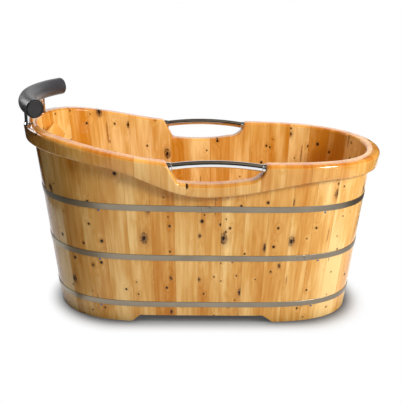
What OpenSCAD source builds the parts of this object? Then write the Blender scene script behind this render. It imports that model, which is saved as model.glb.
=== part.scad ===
// Coopered oval bathtub with a raised head end, three hoops, two grab bars and a headrest.
// The x axis runs from the head end to the foot end, z is up, and the origin is on the floor below the middle.

/* [Tub body] */
// Length over the rim
rim_l = 1545; // [1440:5:1700]
// Width over the rim
rim_w = 714; // [660:2:800]
// Height of the rim at the head end
head_rim_h = 852; // [820:2:900]
// Height of the rim at the foot end
foot_rim_h = 770; // [740:2:810]
// Length of level rim at the head end
head_level = 30; // [20:5:110]
// Length over which the rim drops to the foot height
head_drop_run = 640; // [450:10:640]
// Outward lean of the head wall, degrees
head_lean = 6.1; // [3:0.1:8]
// Outward lean of the foot wall, degrees
foot_lean = 1.6; // [0.5:0.1:4]
// Outward lean of the side walls, degrees
side_lean = 4.3; // [3:0.1:7]
// Squareness of the head end in plan, 2 is an ellipse
head_square = 4.3; // [3.4:0.1:5]
// Squareness of the foot end in plan, 2 is an ellipse
foot_square = 4.2; // [3.2:0.1:5]

/* [Staves] */
// Number of staves round the tub
stave_count = 36; // [30:2:36]
// Thickness of a stave
stave_t = 24; // [20:1:30]
// Flats planed across one stave
stave_flats = 4; // [2:2:4]
// Gap left at a glued joint
joint_gap = 0.3; // [0.2:0.05:0.5]
// Rounding of the rim's inner edge
inner_edge_r = 10; // [4:1:12]

/* [Rim collar] */
// Thickness of the collar blocks
collar_t = 33; // [22:1:34]
// Depth of the collar at the two ends
collar_h = 64; // [55:1:90]
// Extra depth of the collar below the handles
collar_dip = 76; // [60:1:100]
// Place of the deepest point of the collar
collar_dip_x = -25; // [-60:5:40]
// Run of the deep part towards the head
collar_dip_head = 370; // [300:10:450]
// Run of the deep part towards the foot
collar_dip_foot = 560; // [400:10:600]
// Rounding of the rim's outer edge
outer_edge_r = 16; // [6:1:16]
// Rounding of the collar's lower edge
lower_edge_r = 5; // [2:1:8]

/* [Handle notches] */
// Head end of the notch at the rim
notch_head_x = -172; // [-220:2:-150]
// Foot end of the notch at the rim
notch_foot_x = 222; // [180:2:260]
// Depth of the notch below the rim
notch_depth = 87; // [78:1:95]
// Steepness of the notch's head end, degrees
notch_head_slope = 60; // [50:1:75]
// Radius of the notch's foot end
notch_foot_r = 72; // [55:1:76]
// Rise of the notch's bottom towards the foot
notch_sag = 16; // [8:1:22]
// Place of the lowest point of the notch
notch_low_x = -19; // [-60:1:20]

/* [Feet] */
// Head end of the cut-out between the feet
arch_head_x = -310; // [-380:5:-220]
// Foot end of the cut-out between the feet
arch_foot_x = 325; // [220:5:380]
// Height of the cut-out
arch_h = 36; // [20:1:50]
// Length of the slope at each end of the cut-out
arch_run = 46; // [30:2:80]

/* [Hoops] */
// Height of a hoop
hoop_w = 27; // [18:1:34]
// Thickness of the hoop steel
hoop_t = 1.6; // [1:0.1:3]
// Lower edge of the bottom hoop
low_hoop_z = 82; // [60:1:140]
// Lower edge of the middle hoop
mid_hoop_z = 320; // [260:1:400]
// Drop from the foot rim to the lower edge of the top hoop
high_hoop_drop = 217; // [200:1:290]
// Overlap of a hoop's two ends
hoop_lap = 62; // [50:2:90]
// Place along the tub of the top hoop's lap
high_lap_x = -34; // [-150:2:150]
// Place along the tub of the middle hoop's lap
mid_lap_x = 387; // [200:2:420]
// Radius of a hoop rivet's head
rivet_r = 4.5; // [3:0.5:6]
// Radius of a hoop stop's head
stop_r = 4; // [3:0.5:6]
// Distance of the stops from the middle, towards the head
stop_head_x = 440; // [380:5:480]
// Distance of the stops from the middle, towards the foot
stop_foot_x = 497; // [420:5:530]

/* [Floor] */
// Height of the floor's underside
floor_z = 86; // [70:1:120]
// Thickness of the floor boards
floor_t = 26; // [20:1:32]
// Number of floor boards
floor_board_count = 5; // [3:2:7]
// Depth of the groove that holds the floor
groove_d = 9; // [6:0.5:12]
// Length of the tongue between two boards
tongue_l = 7; // [5:0.5:9]
// Thickness of the tongue between two boards
tongue_t = 8; // [6:0.5:9]
// Width of a floor bearer
bearer_w = 70; // [50:5:100]
// Thickness of a floor bearer
bearer_t = 24; // [18:1:30]
// Distance of each bearer from the middle
bearer_x = 330; // [250:10:400]

/* [Grab bars] */
// Radius of a bar
bar_r = 14.5; // [11:0.5:15]
// Wall of the bar's tube
bar_wall = 1.5; // [1:0.1:2.5]
// Depth of the bar's ends below the rim
bar_drop = 19; // [18:1:28]
// Rise of the bar's middle
bar_rise = 15; // [12:1:24]
// Radius of the ferrule at each end
ferrule_r = 17; // [16:0.5:18.5]
// Length of the ferrule on the bar
ferrule_l = 12; // [10:1:22]
// Wall of the ferrule's blind end
ferrule_cap = 3; // [2:0.5:5]

/* [Headrest] */
// Radius of the foam roll
roll_r = 37; // [30:1:40]
// Bend radius of the roll
roll_bend_r = 380; // [320:5:450]
// Half angle of the roll's bend, degrees
roll_half_angle = 37; // [30:1:40]
// Height of the roll's axis above the head rim
roll_rise = 94; // [86:1:110]
// Margin of foam round an end cap
cap_margin = 4; // [2:1:8]
// Radius of the steel tube in the roll
core_r = 11; // [9:0.5:14]
// Wall of the steel tube in the roll
core_wall = 1.5; // [1:0.1:2.5]
// Radius of a post
post_r = 17; // [12:0.5:17]
// Wall of a post
post_wall = 1.5; // [1:0.1:2.5]
// Distance between the two posts
post_span = 210; // [160:5:260]
// Distance of the posts from the head end of the rim
post_setback = 46; // [44:0.5:50]
// Turn of the headrest about the upright, degrees
headrest_turn = 4; // [0:0.5:7]
// Radius of a post's base plate
base_r = 21; // [19:0.5:23]
// Height of a post's base plate
base_h = 7; // [5:0.5:12]
// Height of the spigot that each post slides over
spigot_h = 40; // [30:1:44]
// Thickness of the roll's end caps
cap_t = 4; // [3:0.5:8]
// Radius of the plug behind an end cap
cap_plug_r = 8; // [6:0.5:9]
// Length of the plug behind an end cap
cap_plug_l = 18; // [10:1:30]

/* [Back board] */
// Height of the board's top edge below the head rim
back_drop = 53; // [40:1:90]
// Distance of the board's top edge from the head end of the rim
back_setback = 101; // [95:1:115]
// Width of the board
back_w = 76; // [60:1:100]
// Thickness of the board
back_t = 18; // [12:1:22]
// Slope of the board, degrees from level
back_slope = 56; // [45:1:65]
// Half length of the board at its top edge
back_half_l = 162; // [120:1:170]
// Width of the cleat behind each end
cleat_w = 26; // [18:1:34]
// Place of each cleat from the middle
cleat_y = 108; // [90:1:120]

/* [Drain] */
// Distance of the drain from the foot end of the rim
drain_from_foot = 230; // [190:5:320]
// Radius of the drain's flange
drain_flange_r = 36; // [33:0.5:42]
// Thickness of the drain's flange
drain_flange_t = 5; // [4.5:0.5:7]
// Outer radius of the drain's body
drain_body_r = 23; // [22:0.5:26]
// Outer radius of the drain's tail
drain_tail_r = 19.05; // [18:0.05:20]
// Length of the drain's tail
drain_tail_l = 36; // [30:1:40]
// Wall of the drain's tail
drain_wall = 2.2; // [1.5:0.1:3]
// Radius of the plug's cap
plug_r = 29; // [27:0.5:30]
// Thickness of the plug's cap
plug_t = 6; // [4:0.5:8]
// Radius of the plug's stem
stem_r = 4; // [3:0.5:5]
// Length of the plug's stem
stem_l = 44; // [42:1:48]
// Height of the drain nut
nut_h = 10; // [8:1:14]
// Radius of the drain nut across its corners
nut_r = 33; // [31:0.5:38]
// Thickness of the drain's seal
seal_t = 3; // [2:0.5:4]

/* [Fit] */
// Clearance between pieces that seat on each other
seat_gap = 0.3; // [0.2:0.05:0.4]
// Clearance round a part that slides on or in another
slide_gap = 0.05; // [0.03:0.01:0.1]

/* [Hidden] */
stave_names = [for (i = [1:stave_count]) str("stave_", i < 10 ? "0" : "", i)];

$fn = 64;
CEDAR = [0.87, 0.64, 0.32];
CEDAR_DARK = [0.78, 0.52, 0.24];
STEEL = [0.55, 0.53, 0.50];
CHROME = [0.82, 0.83, 0.85];
FOAM = [0.17, 0.17, 0.18];
STOP_BLUE = [0.25, 0.45, 0.65];
BRASS = [0.75, 0.60, 0.30];
SEAL = [0.12, 0.12, 0.12];

big = 2000;
plan_step = 1.5;
ref_z = foot_rim_h / 2;

// Plan of the outer stave face, an oval of powers whose ends lean out with height
function head_x(z) = -(rim_l / 2 - collar_t) + tan(head_lean) * (head_rim_h - z);
function foot_x(z) = (rim_l / 2 - collar_t) - tan(foot_lean) * (foot_rim_h - z);
function half_l(z) = (foot_x(z) - head_x(z)) / 2;
function mid_x(z) = (foot_x(z) + head_x(z)) / 2;
function half_w(z) = rim_w / 2 - collar_t - tan(side_lean) * (foot_rim_h - z);
function power(t) = cos(t) < 0 ? head_square : foot_square;
function oval_u(t) = cos(t);
function oval_v(t) = sign(sin(t)) * sqrt(max(0, 1 - pow(abs(cos(t)), power(t))));
function wall_point(t, z) = [mid_x(z) + half_l(z) * oval_u(t), half_w(z) * oval_v(t), z];

// Outward direction at angle t, taken once at mid height so that a joint face stays flat
function slope_at(t) = [
    power(t) * sign(oval_u(t)) * pow(abs(oval_u(t)), power(t) - 1) / half_l(ref_z),
    2 * oval_v(t) / half_w(ref_z),
    0
];
function outward(t) = slope_at(t) / norm(slope_at(t));
function at(t, off, z) = wall_point(t, z) + off * outward(t);

// Length round the oval, for equal staves
oval_t = [for (t = [0:plan_step:360]) t];
oval_seg = [for (k = [1:len(oval_t) - 1]) norm(at(oval_t[k], 0, ref_z) - at(oval_t[k - 1], 0, ref_z))];
function running(list, k = 0, sum = 0) =
    k == len(list) ? [sum] : concat([sum], running(list, k + 1, sum + list[k]));
oval_s = running(oval_seg);
girth = oval_s[len(oval_s) - 1];
s_to_t = [for (k = [0:len(oval_t) - 1]) [oval_s[k], oval_t[k]]];
t_to_s = [for (k = [0:len(oval_t) - 1]) [oval_t[k], oval_s[k]]];
function wrap(s) = s < 0 ? s + girth : (s > girth ? s - girth : s);
function t_at(s) = lookup(wrap(s), s_to_t) + (s < 0 ? -360 : (s > girth ? 360 : 0));
function s_at(t) = lookup(t, t_to_s);

// Angle at which the outer face reaches x on the right-hand side, at height z
function right_t(x, z) = 360 - acos((x - mid_x(z)) / half_l(z));
function left_t(x, z) = acos((x - mid_x(z)) / half_l(z));

// Height of the rim and of the collar's lower edge along the tub
function ease(f) = let (c = max(0, min(1, f))) c * c * (3 - 2 * c);
drop_start_x = -rim_l / 2 + head_level;
function rim_z(x) =
    foot_rim_h + (head_rim_h - foot_rim_h) * ease((drop_start_x + head_drop_run - x) / head_drop_run);
function dip(x) =
    let (run = x < collar_dip_x ? collar_dip_head : collar_dip_foot)
    let (f = min(1, abs(x - collar_dip_x) / run))
    (1 + cos(180 * f)) / 2;
function collar_z(x) = rim_z(x) - collar_h - collar_dip * dip(x);
function x_at(t) = at(t, 0, foot_rim_h)[0];

// Solid through a row of closed outlines with the same number of points
module loft(rings) {
    n = len(rings[0]);
    m = len(rings);
    sides = [
        for (i = [0:m - 2], j = [0:n - 1])
            let (k = (j + 1) % n)
            each [[i * n + j, i * n + k, (i + 1) * n + k], [i * n + j, (i + 1) * n + k, (i + 1) * n + j]]
    ];
    first = [[for (j = [n - 1:-1:0]) j]];
    last = [[for (j = [0:n - 1]) (m - 1) * n + j]];
    polyhedron([for (ring = rings) each ring], concat(sides, first, last), convexity = 4);
}

// Quarter round from the top of an edge to its side, as offsets and heights
function round_in(off, z, r) = [for (a = [0:45:90]) [off + r - r * sin(a), z - r + r * cos(a)]];
function round_out(off, z, r) = [for (a = [90:-30:0]) [off - r + r * sin(a), z - r + r * cos(a)]];

// Corner rounded between two points
function bend(from, corner, to, steps) = [
    for (k = [0:steps])
        let (f = k / steps)
        (1 - f) * (1 - f) * from + 2 * f * (1 - f) * corner + f * f * to
];

// Shape of a handle notch seen from the side, grown by e, from the head end to the foot end
notch_corner = 12;
notch_foot_cx = notch_foot_x - notch_foot_r;
notch_foot_cz = foot_rim_h - notch_depth + notch_sag + notch_foot_r;
function notch_floor(x, e) =
    let (f = (x - notch_low_x) / (notch_foot_cx - notch_low_x))
    foot_rim_h - notch_depth - e + notch_sag * f * f;
function notch_wall_x(z, e) =
    notch_head_x + (rim_z(notch_head_x) - z) / tan(notch_head_slope) - e / sin(notch_head_slope);
function notch_arc(a, e) =
    [notch_foot_cx + (notch_foot_r + e) * sin(a), notch_foot_cz - (notch_foot_r + e) * cos(a)];
notch_floor_steps = 4;
function notch_points(e) =
    let (down = notch_corner * [cos(notch_head_slope), -sin(notch_head_slope)])
    let (top = [notch_wall_x(rim_z(notch_head_x), e), rim_z(notch_head_x)])
    let (low_z = foot_rim_h - notch_depth + notch_sag / 2 - e)
    let (low = [notch_wall_x(low_z, e), low_z])
    let (start_x = low[0] + notch_corner, end = [notch_foot_x + e, foot_rim_h])
    concat(
        bend(top - [notch_corner, 0], top, top + down, 3),
        bend(low - down, low, [start_x, notch_floor(start_x, e)], 3),
        [
            for (k = [1:notch_floor_steps - 1])
                let (x = start_x + (notch_foot_cx - start_x) * k / notch_floor_steps)
                [x, notch_floor(x, e)]
        ],
        [for (a = [0:18:72]) notch_arc(a, e)],
        bend(notch_arc(80, e), end, end + [notch_corner, 0], 3)
    );

// Shape of the cut-out between the feet, a wave at the head end and a straight slope at the foot end
arch_points = concat(
    [for (k = [0:3]) [arch_head_x + arch_run * k / 3, arch_h * ease(k / 3)]],
    [[arch_foot_x - arch_run, arch_h], [arch_foot_x, 0]]
);

// The same shapes as angles and heights on each side wall, in the order of growing angles
function on_right(points) = [for (p = points) [right_t(p[0], p[1]), p[1]]];
function on_left(points) = [for (k = [len(points) - 1:-1:0]) let (p = points[k]) [left_t(p[0], p[1]), p[1]]];
notch_left = on_left(notch_points(0));
notch_right = on_right(notch_points(0));
arch_left = on_left(arch_points);
arch_right = on_right(arch_points);
function within(t, table) = t > table[0][0] && t < table[len(table) - 1][0];
function full(t) = t < 0 ? t + 360 : (t > 360 ? t - 360 : t);
function top_z(t) =
    within(full(t), notch_left) ? lookup(full(t), notch_left) :
    within(full(t), notch_right) ? lookup(full(t), notch_right) : rim_z(x_at(t));
function bottom_z(t) =
    within(full(t), arch_left) ? lookup(full(t), arch_left) :
    within(full(t), arch_right) ? lookup(full(t), arch_right) : 0;

// Columns across stave i, from one joint to the next, with one at each corner of the shapes above
stave_w = girth / stave_count;
key_gap = 0.12;
notch_keys = [for (p = concat(notch_left, notch_right)) p[0]];
all_keys = concat(notch_keys, [for (p = concat(arch_left, arch_right)) p[0]]);
function sorted(list) =
    len(list) < 2 ? list :
    let (mid = list[floor(len(list) / 2)])
    concat(sorted([for (v = list) if (v < mid) v]), [mid], sorted([for (v = list) if (v > mid) v]));
function thinned(list, k = 1) =
    k >= len(list) ? list :
    list[k] - list[k - 1] < key_gap
        ? thinned([for (j = [0:len(list) - 1]) if (j != k) list[j]], k)
        : thinned(list, k + 1);
function columns(i, shift = 0, keys = []) =
    let (start = (i - 0.5 + shift) * stave_w + joint_gap / 2, run = stave_w - joint_gap)
    let (first = t_at(start), last = t_at(start + run))
    let (inner = [for (k = [1:stave_flats - 1]) t_at(start + k * run / stave_flats)])
    let (own = [for (t = keys) if (t > first + key_gap && t < last - key_gap) t])
    let (free = [for (t = inner) if (min(concat([360], [for (v = own) abs(v - t)])) > 0.5) t])
    concat([first], thinned(sorted(concat(own, free))), [last]);

// Heights of the hoops, and the band of the inner face that the back board meets
high_hoop_z = foot_rim_h - high_hoop_drop;
hoop_zs = [low_hoop_z, mid_hoop_z, high_hoop_z];
band_margin = 6;
back_top = [-rim_l / 2 + back_setback, head_rim_h - back_drop];
band_high = back_top[1] + band_margin;
band_low = back_top[1] - back_w - band_margin;
function band(t) =
    let (high = min(band_high, top_z(t) - inner_edge_r - band_margin))
    [high, min(band_low, high - band_margin)];

// Outline of a stave at angle t, with the floor groove in its inner face
function stave_outline(t) =
    let (top = top_z(t), low = bottom_z(t), mid = band(t))
    concat(
        [[0, low]],
        [for (z = hoop_zs) [0, z + hoop_w / 2]],
        [[0, top]],
        round_in(-stave_t, top, inner_edge_r),
        [
            [-stave_t, mid[0]],
            [-stave_t, mid[1]],
            [-stave_t, floor_z + floor_t + seat_gap],
            [-stave_t + groove_d, floor_z + floor_t + seat_gap],
            [-stave_t + groove_d, floor_z - seat_gap],
            [-stave_t, floor_z - seat_gap],
            [-stave_t, low]
        ]
    );

// Outline of a collar block at angle t
function collar_outline(t) =
    let (top = top_z(t), low = collar_z(x_at(t)))
    concat(
        [[seat_gap, low], [collar_t - lower_edge_r, low], [collar_t, low + lower_edge_r]],
        round_out(collar_t, top, outer_edge_r),
        [[seat_gap, top]]
    );
function place(outline, t) = [for (p = outline) at(t, p[0], p[1])];

// Staves
module stave(i) {
    tone = 0.06 * sin(i * 137);
    color(CEDAR + [tone, tone, tone])
        loft([for (t = columns(i, 0, all_keys)) place(stave_outline(t), t)]);
}

// Collar blocks, staggered by half a stave, a quarter of the ring in each group
quarter = floor(stave_count / 4);
module collar_blocks(from, to) {
    for (i = [from:to])
        loft([for (t = columns(i, 0.5, notch_keys)) place(collar_outline(t), t)]);
}
half_end = floor(quarter / 2);
module rim_collar_foot() {
    color(CEDAR_DARK) collar_blocks(-half_end, half_end - 1);
}
module rim_collar_left() {
    color(CEDAR)
        collar_blocks(half_end, stave_count / 2 - half_end - 1);
}
module rim_collar_head() {
    color(CEDAR_DARK) collar_blocks(stave_count / 2 - half_end, stave_count / 2 + half_end - 1);
}
module rim_collar_right() {
    color(CEDAR)
        collar_blocks(stave_count / 2 + half_end, stave_count - half_end - 1);
}

// Hoops, each an open strip whose end laps over its start
hoop_joggle = 8;
lap_gap = 0.2;
function deg(s, t) = t_at(s_at(t) + s) - t;
function hoop_outline(off, z) = [
    [off, z], [off + hoop_t, z], [off + hoop_t, z + hoop_w], [off, z + hoop_w]
];
module hoop(z, start) {
    step = deg(hoop_joggle, start);
    end = start + deg(hoop_lap, start);
    raised = seat_gap + hoop_t + lap_gap;
    ts = sorted([for (i = [0:stave_count - 1], k = [0:stave_flats - 1]) full(columns(i)[k])]);
    strip = concat(
        [[start, seat_gap]],
        [for (t = ts) if (t > start + key_gap) [t, seat_gap]],
        [for (t = ts) if (t < start - step - key_gap) [t + 360, seat_gap]],
        [[start + 360 - step, seat_gap], [start + 360 - step / 4, raised]],
        [for (t = ts) if (t > start + key_gap && t < end - key_gap) [t + 360, raised]],
        [[end + 360, raised]]
    );
    loft([for (q = strip) place(hoop_outline(q[1], z), q[0])]);
}
low_lap_t = left_t(0, low_hoop_z);
mid_lap_t = right_t(mid_lap_x, mid_hoop_z);
high_lap_t = right_t(high_lap_x, high_hoop_z);
module hoop_bottom() {
    color(STEEL) hoop(low_hoop_z, low_lap_t);
}
module hoop_middle() {
    color(STEEL) hoop(mid_hoop_z, mid_lap_t);
}
module hoop_top() {
    color(STEEL) hoop(high_hoop_z, high_lap_t);
}

// Places a round head square on the leaning wall at angle t
module on_wall(t, off, z) {
    along = at(t + 0.1, off, z) - at(t - 0.1, off, z);
    up = at(t, off, z + 1) - at(t, off, z - 1);
    n = cross(along, up) / norm(cross(along, up));
    translate(at(t, off, z)) rotate([0, acos(n[2]), atan2(n[1], n[0])]) children();
}
module dome(r, h) {
    cylinder(r = r, h = h / 2);
    translate([0, 0, h / 2]) cylinder(r1 = r, r2 = r / 2, h = h / 2);
}
rivet_h = 2.4;
stop_h = 4;
stop_drop = 6.5;
module rivets(z, start) {
    for (f = [0.25, 0.75])
        on_wall(start + deg(hoop_lap * f, start), 2 * seat_gap + 2 * hoop_t + lap_gap, z + hoop_w / 2)
            dome(rivet_r, rivet_h);
}
module hoop_stops(z) {
    for (x = [-stop_head_x, stop_foot_x], t = [left_t(x, z), right_t(x, z)])
        on_wall(t, seat_gap, z - stop_drop) dome(stop_r, stop_h);
}
module hoop_fasteners() {
    color(STEEL) {
        rivets(low_hoop_z, low_lap_t);
        rivets(mid_hoop_z, mid_lap_t);
        rivets(high_hoop_z, high_lap_t);
    }
    color(STOP_BLUE)
        for (z = hoop_zs) hoop_stops(z);
}

// Plan of the tub at one height, and the band of its inside that the back board meets
wall_t = [for (i = [0:stave_count - 1]) each columns(i)];
module plan_shape(off, z) {
    polygon([for (t = wall_t) let (p = at(t, off, z)) [p[0], p[1]]]);
}
module inside_band(gap) {
    n = len(wall_t);
    loft([
        for (z = [band_low, band_high])
            [for (k = [n - 1:-1:0]) at(wall_t[k], -stave_t - gap, z)]
    ]);
}

// Floor boards with tongues, held in the staves' groove
floor_half_w = half_w(floor_z) - stave_t + groove_d;
board_w = 2 * floor_half_w / floor_board_count;
drain_x = rim_l / 2 - drain_from_foot;
body_hole_gap = 0.5;
module floor_board(k) {
    y0 = -floor_half_w + k * board_w;
    difference() {
        union() {
            translate([-big / 2, y0 + joint_gap / 2, floor_z])
                cube([big, board_w - joint_gap, floor_t]);
            if (k < floor_board_count - 1)
                translate([-big / 2, y0 + board_w - joint_gap, floor_z + (floor_t - tongue_t) / 2])
                    cube([big, tongue_l, tongue_t]);
        }
        if (k > 0)
            translate([-big / 2 - 1, y0 - 1, floor_z + (floor_t - tongue_t) / 2 - seat_gap])
                cube([big + 2, tongue_l + 1, tongue_t + 2 * seat_gap]);
    }
}
module floor_boards() {
    color(CEDAR)
        difference() {
            intersection() {
                union() {
                    for (k = [0:floor_board_count - 1]) floor_board(k);
                }
                translate([0, 0, floor_z - 1])
                    linear_extrude(height = floor_t + 2)
                        plan_shape(-stave_t + groove_d - seat_gap, floor_z - seat_gap);
            }
            translate([drain_x, 0, 0])
                cylinder(r = drain_body_r + body_hole_gap, h = big);
        }
}
module floor_bearers() {
    bearer_z = floor_z - bearer_t;
    color(CEDAR_DARK)
        intersection() {
            for (x = [-bearer_x, bearer_x])
                translate([x - bearer_w / 2, -big / 2, bearer_z - seat_gap])
                    cube([bearer_w, big, bearer_t]);
            linear_extrude(height = floor_z)
                plan_shape(-stave_t - seat_gap, bearer_z - seat_gap);
        }
}

// Grab bars, bent to an arc, with a ferrule where each end meets the notch
bar_z = foot_rim_h - bar_drop;
bar_y = half_w(bar_z) + (collar_t - stave_t) / 2;
bar_head_x = notch_wall_x(bar_z, 0);
bar_foot_x = notch_foot_cx + sqrt(pow(notch_foot_r, 2) - pow(notch_foot_cz - bar_z, 2));
bar_half = (bar_foot_x - bar_head_x) / 2;
bar_mid_x = (bar_foot_x + bar_head_x) / 2;
bar_bend_r = (pow(bar_half, 2) + pow(bar_rise, 2)) / (2 * bar_rise);
bar_angle = asin(bar_half / bar_bend_r);
ferrule_angle = ferrule_l / bar_bend_r * 180 / PI;
cap_angle = ferrule_cap / bar_bend_r * 180 / PI;
module along_bar(side) {
    translate([bar_mid_x, side * bar_y, bar_z + bar_rise - bar_bend_r])
        rotate([90, 0, 0])
            children();
}
module bent_tube(r, from, to, bend) {
    rotate([0, 0, 90 + from])
        rotate_extrude(angle = to - from)
            translate([bend, 0]) circle(r);
}
module grab_bar(side) {
    trim = cap_angle * 1.6;
    color(CHROME)
        along_bar(side)
            difference() {
                bent_tube(bar_r, -bar_angle + trim * 2.5, bar_angle - trim * 3.5, bar_bend_r);
                bent_tube(bar_r - bar_wall, -bar_angle, bar_angle, bar_bend_r);
            }
}
module grab_bar_left() {
    grab_bar(1);
}
module grab_bar_right() {
    grab_bar(-1);
}
module ferrule_pair(side) {
    along = ferrule_angle + 3 * cap_angle;
    intersection() {
        along_bar(side)
            difference() {
                union() {
                    bent_tube(ferrule_r, bar_angle - along, bar_angle + 2 * cap_angle, bar_bend_r);
                    bent_tube(ferrule_r, -bar_angle - 2 * cap_angle, -bar_angle + along, bar_bend_r);
                }
                bent_tube(bar_r + seat_gap / 2, -bar_angle + trim_head(), bar_angle - trim_foot(), bar_bend_r);
            }
        translate([0, side * bar_y, 0])
            rotate([90, 0, 0])
                linear_extrude(height = 4 * ferrule_r, center = true)
                    polygon(notch_points(-seat_gap));
    }
}
function trim_head() = cap_angle * 4 - 0.01;
function trim_foot() = cap_angle * 5.6 - 0.01;
module grab_bar_ferrules() {
    color(CHROME) {
        ferrule_pair(1);
        ferrule_pair(-1);
    }
}

// Headrest, a foam roll on a bent tube that two posts carry
roll_z = head_rim_h + roll_rise;
post_x = -rim_l / 2 + post_setback;
post_angle = asin(post_span / 2 / roll_bend_r);
bend_x = roll_bend_r * cos(post_angle);
module on_headrest() {
    translate([post_x, 0, 0]) rotate([0, 0, -headrest_turn]) children();
}
module roll_arc(r, half_angle) {
    translate([bend_x, 0, roll_z])
        rotate([0, 0, 180 - half_angle])
            rotate_extrude(angle = 2 * half_angle)
                translate([roll_bend_r, 0]) circle(r);
}
module post_places() {
    for (y = [-post_span / 2, post_span / 2]) translate([0, y, 0]) children();
}
module roll_end_places() {
    for (a = [-roll_half_angle, roll_half_angle])
        translate([bend_x - roll_bend_r * cos(a), roll_bend_r * sin(a), roll_z])
            rotate([a < 0 ? 90 : -90, 0, a < 0 ? -a : -a])
                children();
}
module headrest_foam() {
    color(FOAM)
        on_headrest()
            difference() {
                roll_arc(roll_r, roll_half_angle);
                roll_arc(core_r + seat_gap, roll_half_angle + 1);
                post_places()
                    translate([0, 0, roll_z - 2 * roll_r])
                        cylinder(r = post_r + seat_gap, h = 2 * roll_r);
            }
}
module headrest_core() {
    color(STEEL)
        on_headrest()
            difference() {
                roll_arc(core_r, roll_half_angle);
                roll_arc(core_r - core_wall, roll_half_angle + 1);
            }
}
post_low = head_rim_h + seat_gap + base_h + seat_gap;
module headrest_posts() {
    color(CHROME)
        on_headrest()
            difference() {
                post_places()
                    translate([0, 0, post_low])
                        difference() {
                            cylinder(r = post_r, h = roll_z - post_low);
                            translate([0, 0, -1])
                                cylinder(r = post_r - post_wall, h = roll_z - core_r - post_wall - post_low);
                        }
                roll_arc(core_r + seat_gap, roll_half_angle);
            }
}
module headrest_bases() {
    spigot_r = post_r - post_wall - slide_gap;
    color(CHROME)
        on_headrest()
            post_places()
                translate([0, 0, head_rim_h + seat_gap])
                    rotate_extrude()
                        polygon([
                            [0, 0], [base_r, 0], [base_r, base_h * 0.4], [post_r + 1, base_h],
                            [spigot_r, base_h], [spigot_r, base_h + spigot_h - 2],
                            [spigot_r - 2, base_h + spigot_h], [0, base_h + spigot_h]
                        ]);
}
module headrest_caps() {
    cap_r = roll_r - cap_margin;
    color(FOAM)
        on_headrest()
            roll_end_places() {
                translate([0, 0, seat_gap])
                    rotate_extrude()
                        polygon([
                            [0, 0], [cap_r, 0], [cap_r, cap_t * 0.6], [cap_r - cap_t * 0.4, cap_t], [0, cap_t]
                        ]);
                translate([0, 0, -cap_plug_l]) cylinder(r = cap_plug_r, h = cap_plug_l + 2 * seat_gap);
            }
}

// Back board across the head end, trimmed to the walls, on two cleats
module back_slab(from, depth, width, y0, y1) {
    translate([back_top[0], 0, back_top[1]])
        rotate([0, back_slope, 0])
            translate([0, y0, -from - depth])
                cube([width, y1 - y0, depth]);
}
module back_board() {
    color(CEDAR)
        intersection() {
            back_slab(0, back_t, back_w, -back_half_l, back_half_l);
            inside_band(seat_gap);
        }
}
module back_board_cleats() {
    color(CEDAR_DARK)
        intersection() {
            for (y = [-cleat_y, cleat_y])
                back_slab(back_t + seat_gap, big / 10, back_w, y - cleat_w / 2, y + cleat_w / 2);
            inside_band(seat_gap);
            translate([-rim_l, -rim_w / 2, back_top[1] - back_w])
                cube([rim_l, rim_w, back_w / 2]);
        }
}

// Drain through the middle floor board, with a plug that slides in a guide
floor_top = floor_z + floor_t;
flange_z = floor_top + seat_gap;
flange_top = flange_z + drain_flange_t;
seat_z = flange_top - 2.5;
nut_top = floor_z - seat_gap - seal_t - seat_gap;
shoulder_z = nut_top - nut_h - 4;
tail_end_z = shoulder_z - drain_tail_l;
bore_r = drain_tail_r - drain_wall;
guide_r = stem_r + 4;
guide_z = shoulder_z + 6;
guide_h = 14;
web_h = 6;
stem_bore_r = stem_r + slide_gap;
water_hole_r = 3.6;
water_hole_count = 6;
module drain_body() {
    color(BRASS)
        translate([drain_x, 0, 0])
            difference() {
                rotate_extrude()
                    polygon([
                        [bore_r, tail_end_z], [drain_tail_r, tail_end_z], [drain_tail_r, shoulder_z],
                        [drain_body_r, shoulder_z], [drain_body_r, flange_z], [drain_flange_r, flange_z],
                        [drain_flange_r, flange_top - 1.5], [drain_flange_r - 2, flange_top],
                        [plug_r + 1, flange_top], [plug_r + 1, seat_z], [bore_r + 3, seat_z],
                        [bore_r, seat_z - 3], [bore_r, guide_z + web_h], [guide_r, guide_z + web_h],
                        [guide_r, guide_z + guide_h], [stem_bore_r, guide_z + guide_h],
                        [stem_bore_r, guide_z], [bore_r, guide_z]
                    ]);
                for (k = [1:water_hole_count])
                    rotate([0, 0, 360 * k / water_hole_count])
                        translate([(guide_r + bore_r) / 2, 0, guide_z - 1])
                            cylinder(r = water_hole_r, h = web_h + 2);
            }
}
module ring(r_out, r_in, z, h) {
    translate([drain_x, 0, z])
        difference() {
            cylinder(r = r_out, h = h);
            translate([0, 0, -1]) cylinder(r = r_in, h = h + 2);
        }
}
module drain_seal() {
    color(SEAL) ring(nut_r - 2, drain_body_r + seat_gap, floor_z - seat_gap - seal_t, seal_t);
}
module drain_nut() {
    color(BRASS)
        translate([drain_x, 0, nut_top - nut_h])
            difference() {
                cylinder(r = nut_r, h = nut_h, $fn = 6);
                translate([0, 0, -1]) cylinder(r = drain_body_r + seat_gap, h = nut_h + 2);
            }
}
module drain_plug() {
    color(CHROME)
        translate([drain_x, 0, 0])
            rotate_extrude()
                polygon([
                    [0, seat_z + seat_gap - stem_l], [stem_r, seat_z + seat_gap - stem_l],
                    [stem_r, seat_z + seat_gap], [plug_r, seat_z + seat_gap],
                    [plug_r, seat_z + seat_gap + plug_t * 0.5], [plug_r - 3, seat_z + seat_gap + plug_t * 0.85],
                    [plug_r * 0.5, seat_z + seat_gap + plug_t], [0, seat_z + seat_gap + plug_t]
                ]);
}

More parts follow.
